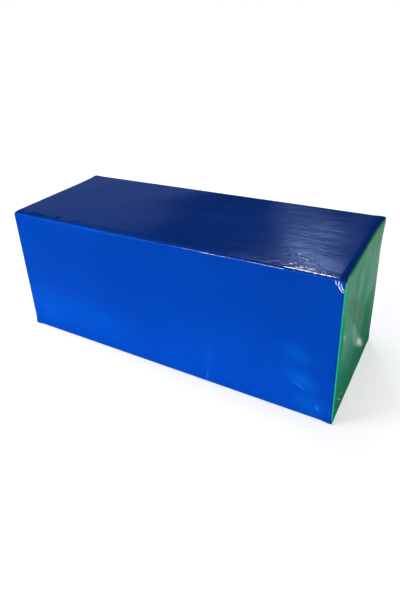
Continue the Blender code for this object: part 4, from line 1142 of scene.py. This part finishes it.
def foam_slab(node):
    work = bmesh.new()
    work.from_mesh(bpy.data.objects[node].data)
    bmesh.ops.remove_doubles(work, verts=work.verts, dist=FOAM_MERGE)
    bmesh.ops.triangulate(work, faces=work.faces)
    for _ in range(FOAM_CUTS):
        long = [edge for edge in work.edges if edge.calc_length() > FOAM_EDGE]
        bmesh.ops.subdivide_edges(work, edges=long, cuts=1, use_grid_fill=False)
        bmesh.ops.triangulate(work, faces=work.faces)
    work.normal_update()
    x, y, z = np.array([vert.co for vert in work.verts]).T
    a, b, c, d = FOAM_WAVES
    uneven = np.sin(a * x + FOAM_WAVE_BEND * np.sin(b * y)) * np.sin(c * z + d * y)
    for vert, depth in zip(work.verts, FOAM_CUT_BACK + FOAM_UNEVEN * uneven):
        vert.co -= vert.normal * float(depth)
    mesh = bpy.data.meshes.new(node.replace("foam_", "") + "_foam")
    work.to_mesh(mesh)
    work.free()
    return placed(mesh.name, mesh)


for node in ("foam_base_slab", "foam_middle_slab", "foam_top_slab"):
    finish(foam_slab(node), FOAM, node)


# Seam threads, as cord that swells between the holes of its stitches

def seam_points(corners, closed):
    """Places along a seam on the sharp-edged block, a thread step apart."""
    spots = []
    count = len(corners)
    for k in range(count if closed else count - 1):
        a, b = np.array(corners[k]), np.array(corners[(k + 1) % count])
        steps = max(2, round(float(np.linalg.norm(b - a)) / THREAD_STEP))
        spots.append(a + (b - a) * (np.arange(steps) / steps)[:, None])
    if not closed:
        spots.append(np.array(corners[-1])[None, :])
    return np.concatenate(spots)


def thread(name, corners, closed):
    point, normal = on_cover(seam_points(corners, closed))
    beat = np.abs(np.sin(math.pi * np.arange(len(point)) * THREAD_STEP / STITCH_PITCH))
    depth = THREAD_DEPTH + THREAD_SUNK - THREAD_RISE * beat
    line = crowned(point - normal * depth[:, None])
    ahead = np.roll(line, -1, 0) - np.roll(line, 1, 0) if closed else np.gradient(line, axis=0)
    ahead /= np.linalg.norm(ahead, axis=1, keepdims=True)
    side = np.cross(ahead, normal)
    side /= np.linalg.norm(side, axis=1, keepdims=True)
    lift = np.cross(side, ahead)
    size = (THREAD_RADIUS * (THREAD_PINCH + (1 - THREAD_PINCH) * beat))[:, None]
    return swept(name, rings_round(line, side * size * THREAD_FLATNESS, lift * size, THREAD_SIDES), closed)


for name, height in (("top", TOP_Z), ("base", 0.0)):
    corners = [(x * HALF_X, y * HALF_Y, height) for x, y in ((-1, -1), (1, -1), (1, 1), (-1, 1))]
    piece = thread(f"{name}_seam_stitching", corners, True)
    finish(piece, BLUE_THREAD, f"{name}_seam_thread")
for face, y in (("front", -HALF_Y), ("rear", HALF_Y)):
    for end, x in (("left", -HALF_X), ("right", HALF_X)):
        corners = [(x, y, SEAM_END_CLEARANCE), (x, y, TOP_Z - SEAM_END_CLEARANCE)]
        piece = thread(f"{face}_{end}_seam_stitching", corners, False)
        finish(piece, GREEN_THREAD, f"{face}_{end}_seam_thread")


# The zip, whose places follow from the hems beside it

def rear(depth):
    """The Y of a depth under the rear face."""
    return HALF_Y - depth


def coil(name, way):
    """A nylon coil: one wire wound in flattened loops, sewn along the tape's edge."""
    turns = round(2 * COIL_HALF / COIL_PITCH)
    angle = np.arange(turns * COIL_STEPS + 1) * 2 * math.pi / COIL_STEPS
    middle, reach = (COIL_REACH + COIL_OUTER) / 2, (COIL_OUTER - COIL_REACH) / 2 - COIL_WIRE
    line = np.stack([
        (COIL_HALF - COIL_WIRE) * (2 * angle / angle[-1] - 1),
        rear(COIL_BACK - COIL_HEIGHT / 2) + (COIL_HEIGHT / 2 - COIL_WIRE) * np.cos(angle),
        ZIP_HEIGHT + way * (middle + reach * np.sin(angle)),
    ], -1)
    outward = np.stack([np.zeros_like(angle), np.cos(angle), way * np.sin(angle)], -1)
    along = np.zeros_like(outward) + (1.0, 0.0, 0.0)
    return swept(name, rings_round(line, COIL_WIRE * outward, COIL_WIRE * along, COIL_SIDES))


def tape(name, way):
    """A woven strip, slightly rippled beyond its thicker edge."""
    stations = np.linspace(-ZIP_HALF, ZIP_HALF, TAPE_STATIONS)
    ripple = np.abs(TAPE_RIPPLE * np.sin(stations * 2 * math.pi / TAPE_RIPPLE_LENGTH))
    rings = np.zeros((len(stations), len(TAPE_SECTION), 3))
    for k, (across, depth) in enumerate(TAPE_SECTION):
        rings[:, k, 0] = stations
        rings[:, k, 1] = rear(TAPE_DEPTH + depth) - ripple * (across > TAPE_CORD)
        rings[:, k, 2] = ZIP_HEIGHT + way * (COIL_SPACING / 2 + across)
    return swept(name, rings)


def stop(name, end):
    """A pressed metal stop over both coils, with a crimp across its middle."""
    half = COIL_OUTER + STOP_MARGIN
    low, high = rear(COIL_BACK), rear(COIL_BACK - COIL_HEIGHT - SLIDER_CLEARANCE)
    section = [(half, low)]
    for step in range(STOP_STEPS + 1):
        angle = math.pi * step / STOP_STEPS
        rise = STOP_SHOULDER + (1 - STOP_SHOULDER) * math.sin(angle) ** STOP_ROUND
        section.append((half * math.cos(angle), low + (high - low) * rise))
    section.append((-half, low))
    rings = []
    for share, size in [(-share, size) for share, size in STOP_PROFILE] + list(reversed(STOP_PROFILE)):
        x = end * STOP_X + share * STOP_LENGTH / 2
        rings.append([(x, low + (y - low) * size, ZIP_HEIGHT + z * (0.5 + 0.5 * size)) for z, y in section])
    return swept(name, np.array(rings))


def end_tab(name, end):
    """A square of the cover's cloth over the zip's end, which bends round to the corner seam."""
    inner, outer = ZIP_HALF - TAB_LENGTH, HALF_X - ROLL_RADIUS - LAYER_GAP
    x = np.linspace(inner, outer, TAB_COLUMNS)[:, None]
    half = TAB_WIDTH / 2 - TAB_SHOULDER * np.maximum(0.0, 1 - (x - inner) / TAB_SHOULDER)
    up = half * np.linspace(-1.0, 1.0, TAB_ROWS)
    x = np.broadcast_to(x, up.shape)
    point, normal = on_cover(np.stack([end * x, np.full_like(x, HALF_Y), ZIP_HEIGHT + up], -1))
    point = crowned(point)
    away = np.minimum(np.abs(x - inner - TAB_STITCH_INSET), np.abs(np.abs(up) - half + TAB_STITCH_INSET))
    puff = TAB_PUFF * smooth(away, 0.0, TAB_PUFF_REACH)
    raised = point + normal * (LAYER_GAP + FABRIC + puff)[..., None]
    return shell(name, raised, point + normal * LAYER_GAP, np.zeros((TAB_COLUMNS - 1, TAB_ROWS - 1), int))


def stitch_rows(name, rows):
    """Rows of single stitches on the rear, each bedded into the cloth at both ends."""
    out = np.array([0.0, 1.0, 0.0])
    shares, sizes, sunk = np.array(STITCH_PROFILE).T[..., None]
    rings, faces = [], []
    for start, end in rows:
        start, run = np.array(start), np.subtract(end, start)
        length = float(np.linalg.norm(run))
        way = run / length
        count = max(1, int(length / STITCH_PITCH))
        for k in range(count):
            first = len(rings) * len(sizes) * THREAD_SIDES
            faces += tube_faces(len(sizes), THREAD_SIDES, first)
            line = start + way * ((k + STITCH_LEAD) * length / count + shares * STITCH_LENGTH)
            line = line - out * sunk * THREAD_RADIUS
            radius = sizes * THREAD_RADIUS
            rings.append(rings_round(line, radius * np.cross(way, out), radius * out, THREAD_SIDES))
    return mesh_piece(name, np.concatenate(rings).reshape(-1, 3), faces)


for name, way in (("upper", 1), ("lower", -1)):
    finish(tape(f"{name}_tape", way), TAPE, f"zip_{name}_tape")
    finish(coil(f"{name}_coil", way), COIL, f"zip_{name}_coil")
    y, z = rear(-LAYER_GAP - THREAD_RADIUS), ZIP_HEIGHT + way * (ZIP_SLOT_HALF + TOPSTITCH_INSET)
    piece = stitch_rows(f"{name}_topstitching", [((-COIL_HALF, y, z), (COIL_HALF, y, z))])
    finish(piece, BLUE_THREAD, f"zip_{name}_topstitch")

for name, end in (("left", -1), ("right", 1)):
    finish(stop(f"{name}_stop", end), METAL, f"zip_{name}_stop")
    finish(end_tab(f"{name}_tab", end), BLUE, f"zip_{name}_end_tab")
    x = [end * (ZIP_HALF - TAB_LENGTH + TAB_STITCH_INSET), end * (HALF_X - EDGE_RADIUS - TAB_SEAM_MARGIN)]
    y = rear(-LAYER_GAP - FABRIC - TAB_STITCH_RISE)
    z = [ZIP_HEIGHT + way * (TAB_WIDTH / 2 - TAB_STITCH_INSET) for way in (-1, 1)]
    a, b, c, d = (x[0], y, z[0]), (x[1], y, z[0]), (x[1], y, z[1]), (x[0], y, z[1])
    rows = [(a, b), (b, c), (c, d), (d, a), (a, c), (b, d)]
    finish(stitch_rows(f"{name}_tab_stitching", rows), BLUE_THREAD)

for node in ("zip_slider", "zip_pull"):
    for slot in bpy.data.objects[node].material_slots:
        slot.material = METAL


# The floor, lamps, world and camera

def build_floor():
    mesh = bpy.data.meshes.new("floor")
    corners = [(x * FLOOR_REACH, y * FLOOR_REACH, 0) for x, y in ((-1, -1), (1, -1), (1, 1), (-1, 1))]
    mesh.from_pydata(corners, [], [(0, 1, 2, 3)])
    floor = placed("floor", mesh)
    floor.location.z = -FLOOR_DROP
    made = bpy.data.materials.new("floor")
    made.use_nodes = True
    tree = made.node_tree
    tree.nodes.clear()
    path = add(tree, "ShaderNodeLightPath")
    seen = math_node(tree, "MAXIMUM", path.outputs["Is Camera Ray"], path.outputs["Is Glossy Ray"])
    seen = math_node(tree, "MAXIMUM", seen, path.outputs["Is Transmission Ray"])
    distance = length_of(tree, add(tree, "ShaderNodeTexCoord").outputs["Object"])
    glow = between(tree, distance, *FLOOR_GLOW, *FLOOR_GLOW_REACH, "SMOOTHSTEP")
    glow = math_node(tree, "MULTIPLY", seen, glow)
    glow = add(tree, "ShaderNodeEmission", {"Color": WHITE, "Strength": glow})
    diffuse = add(tree, "ShaderNodeBsdfDiffuse", {"Color": FLOOR_COLOUR})
    both = add(tree, "ShaderNodeAddShader", {0: diffuse.outputs[0], 1: glow.outputs[0]})
    add(tree, "ShaderNodeOutputMaterial", {"Surface": both.outputs[0]})
    mesh.materials.append(made)


def lamp(name, at, aim, size, power, colour=(1.0, 1.0, 1.0), turn=0.0):
    light = bpy.data.lights.new(name, "AREA")
    light.shape = "RECTANGLE"
    light.size, light.size_y = size
    light.energy = power
    light.color = colour
    made = placed(name, light)
    made.location = at
    facing = (Vector(aim) - Vector(at)).to_track_quat("-Z", "Y").to_matrix()
    made.rotation_euler = (facing @ Matrix.Rotation(math.radians(turn), 3, "Z")).to_euler()
    made.visible_camera = False


def build_world():
    world = bpy.data.worlds.new("studio")
    bpy.context.scene.world = world
    world.use_nodes = True
    tree = world.node_tree
    tree.nodes.clear()
    way = add(tree, "ShaderNodeTexCoord").outputs["Generated"]
    height = add(tree, "ShaderNodeSeparateXYZ", {"Vector": way}).outputs["Z"]
    towards = add(tree, "ShaderNodeVectorMath", {0: way, 1: DARK_SIDE}, operation="DOT_PRODUCT")
    rise = between(tree, towards.outputs["Value"], DARK_SIDE_RISE, 0.0, *DARK_SIDE_REACH)
    above = math_node(tree, "SUBTRACT", height, rise)
    strength = between(tree, above, 1.0, WORLD_DIM, *HORIZON, "SMOOTHSTEP")
    # The camera sees white all round
    seen = add(tree, "ShaderNodeLightPath").outputs["Is Camera Ray"]
    strength = math_node(tree, "MAXIMUM", seen, strength)
    background = add(tree, "ShaderNodeBackground", {"Color": WHITE, "Strength": strength})
    add(tree, "ShaderNodeOutputWorld", {"Surface": background.outputs[0]})


def build_camera():
    data = bpy.data.cameras.new("camera")
    data.sensor_fit = "AUTO"
    data.sensor_width = CAMERA_SENSOR
    data.lens = CAMERA_LENS
    data.shift_x, data.shift_y = CAMERA_SHIFT
    azimuth, elevation, roll = (math.radians(angle) for angle in CAMERA_TURN)
    camera = placed("camera", data)
    camera.matrix_world = (
        Matrix.Translation(CAMERA_PLACE) @ Matrix.Rotation(azimuth, 4, "Z")
        @ Matrix.Rotation(math.pi / 2 - elevation, 4, "X") @ Matrix.Rotation(roll, 4, "Z")
    )
    bpy.context.scene.camera = camera


build_floor()
build_world()
for row in LAMPS:
    lamp(*row)
build_camera()
bpy.context.scene.view_settings.view_transform = "Standard"
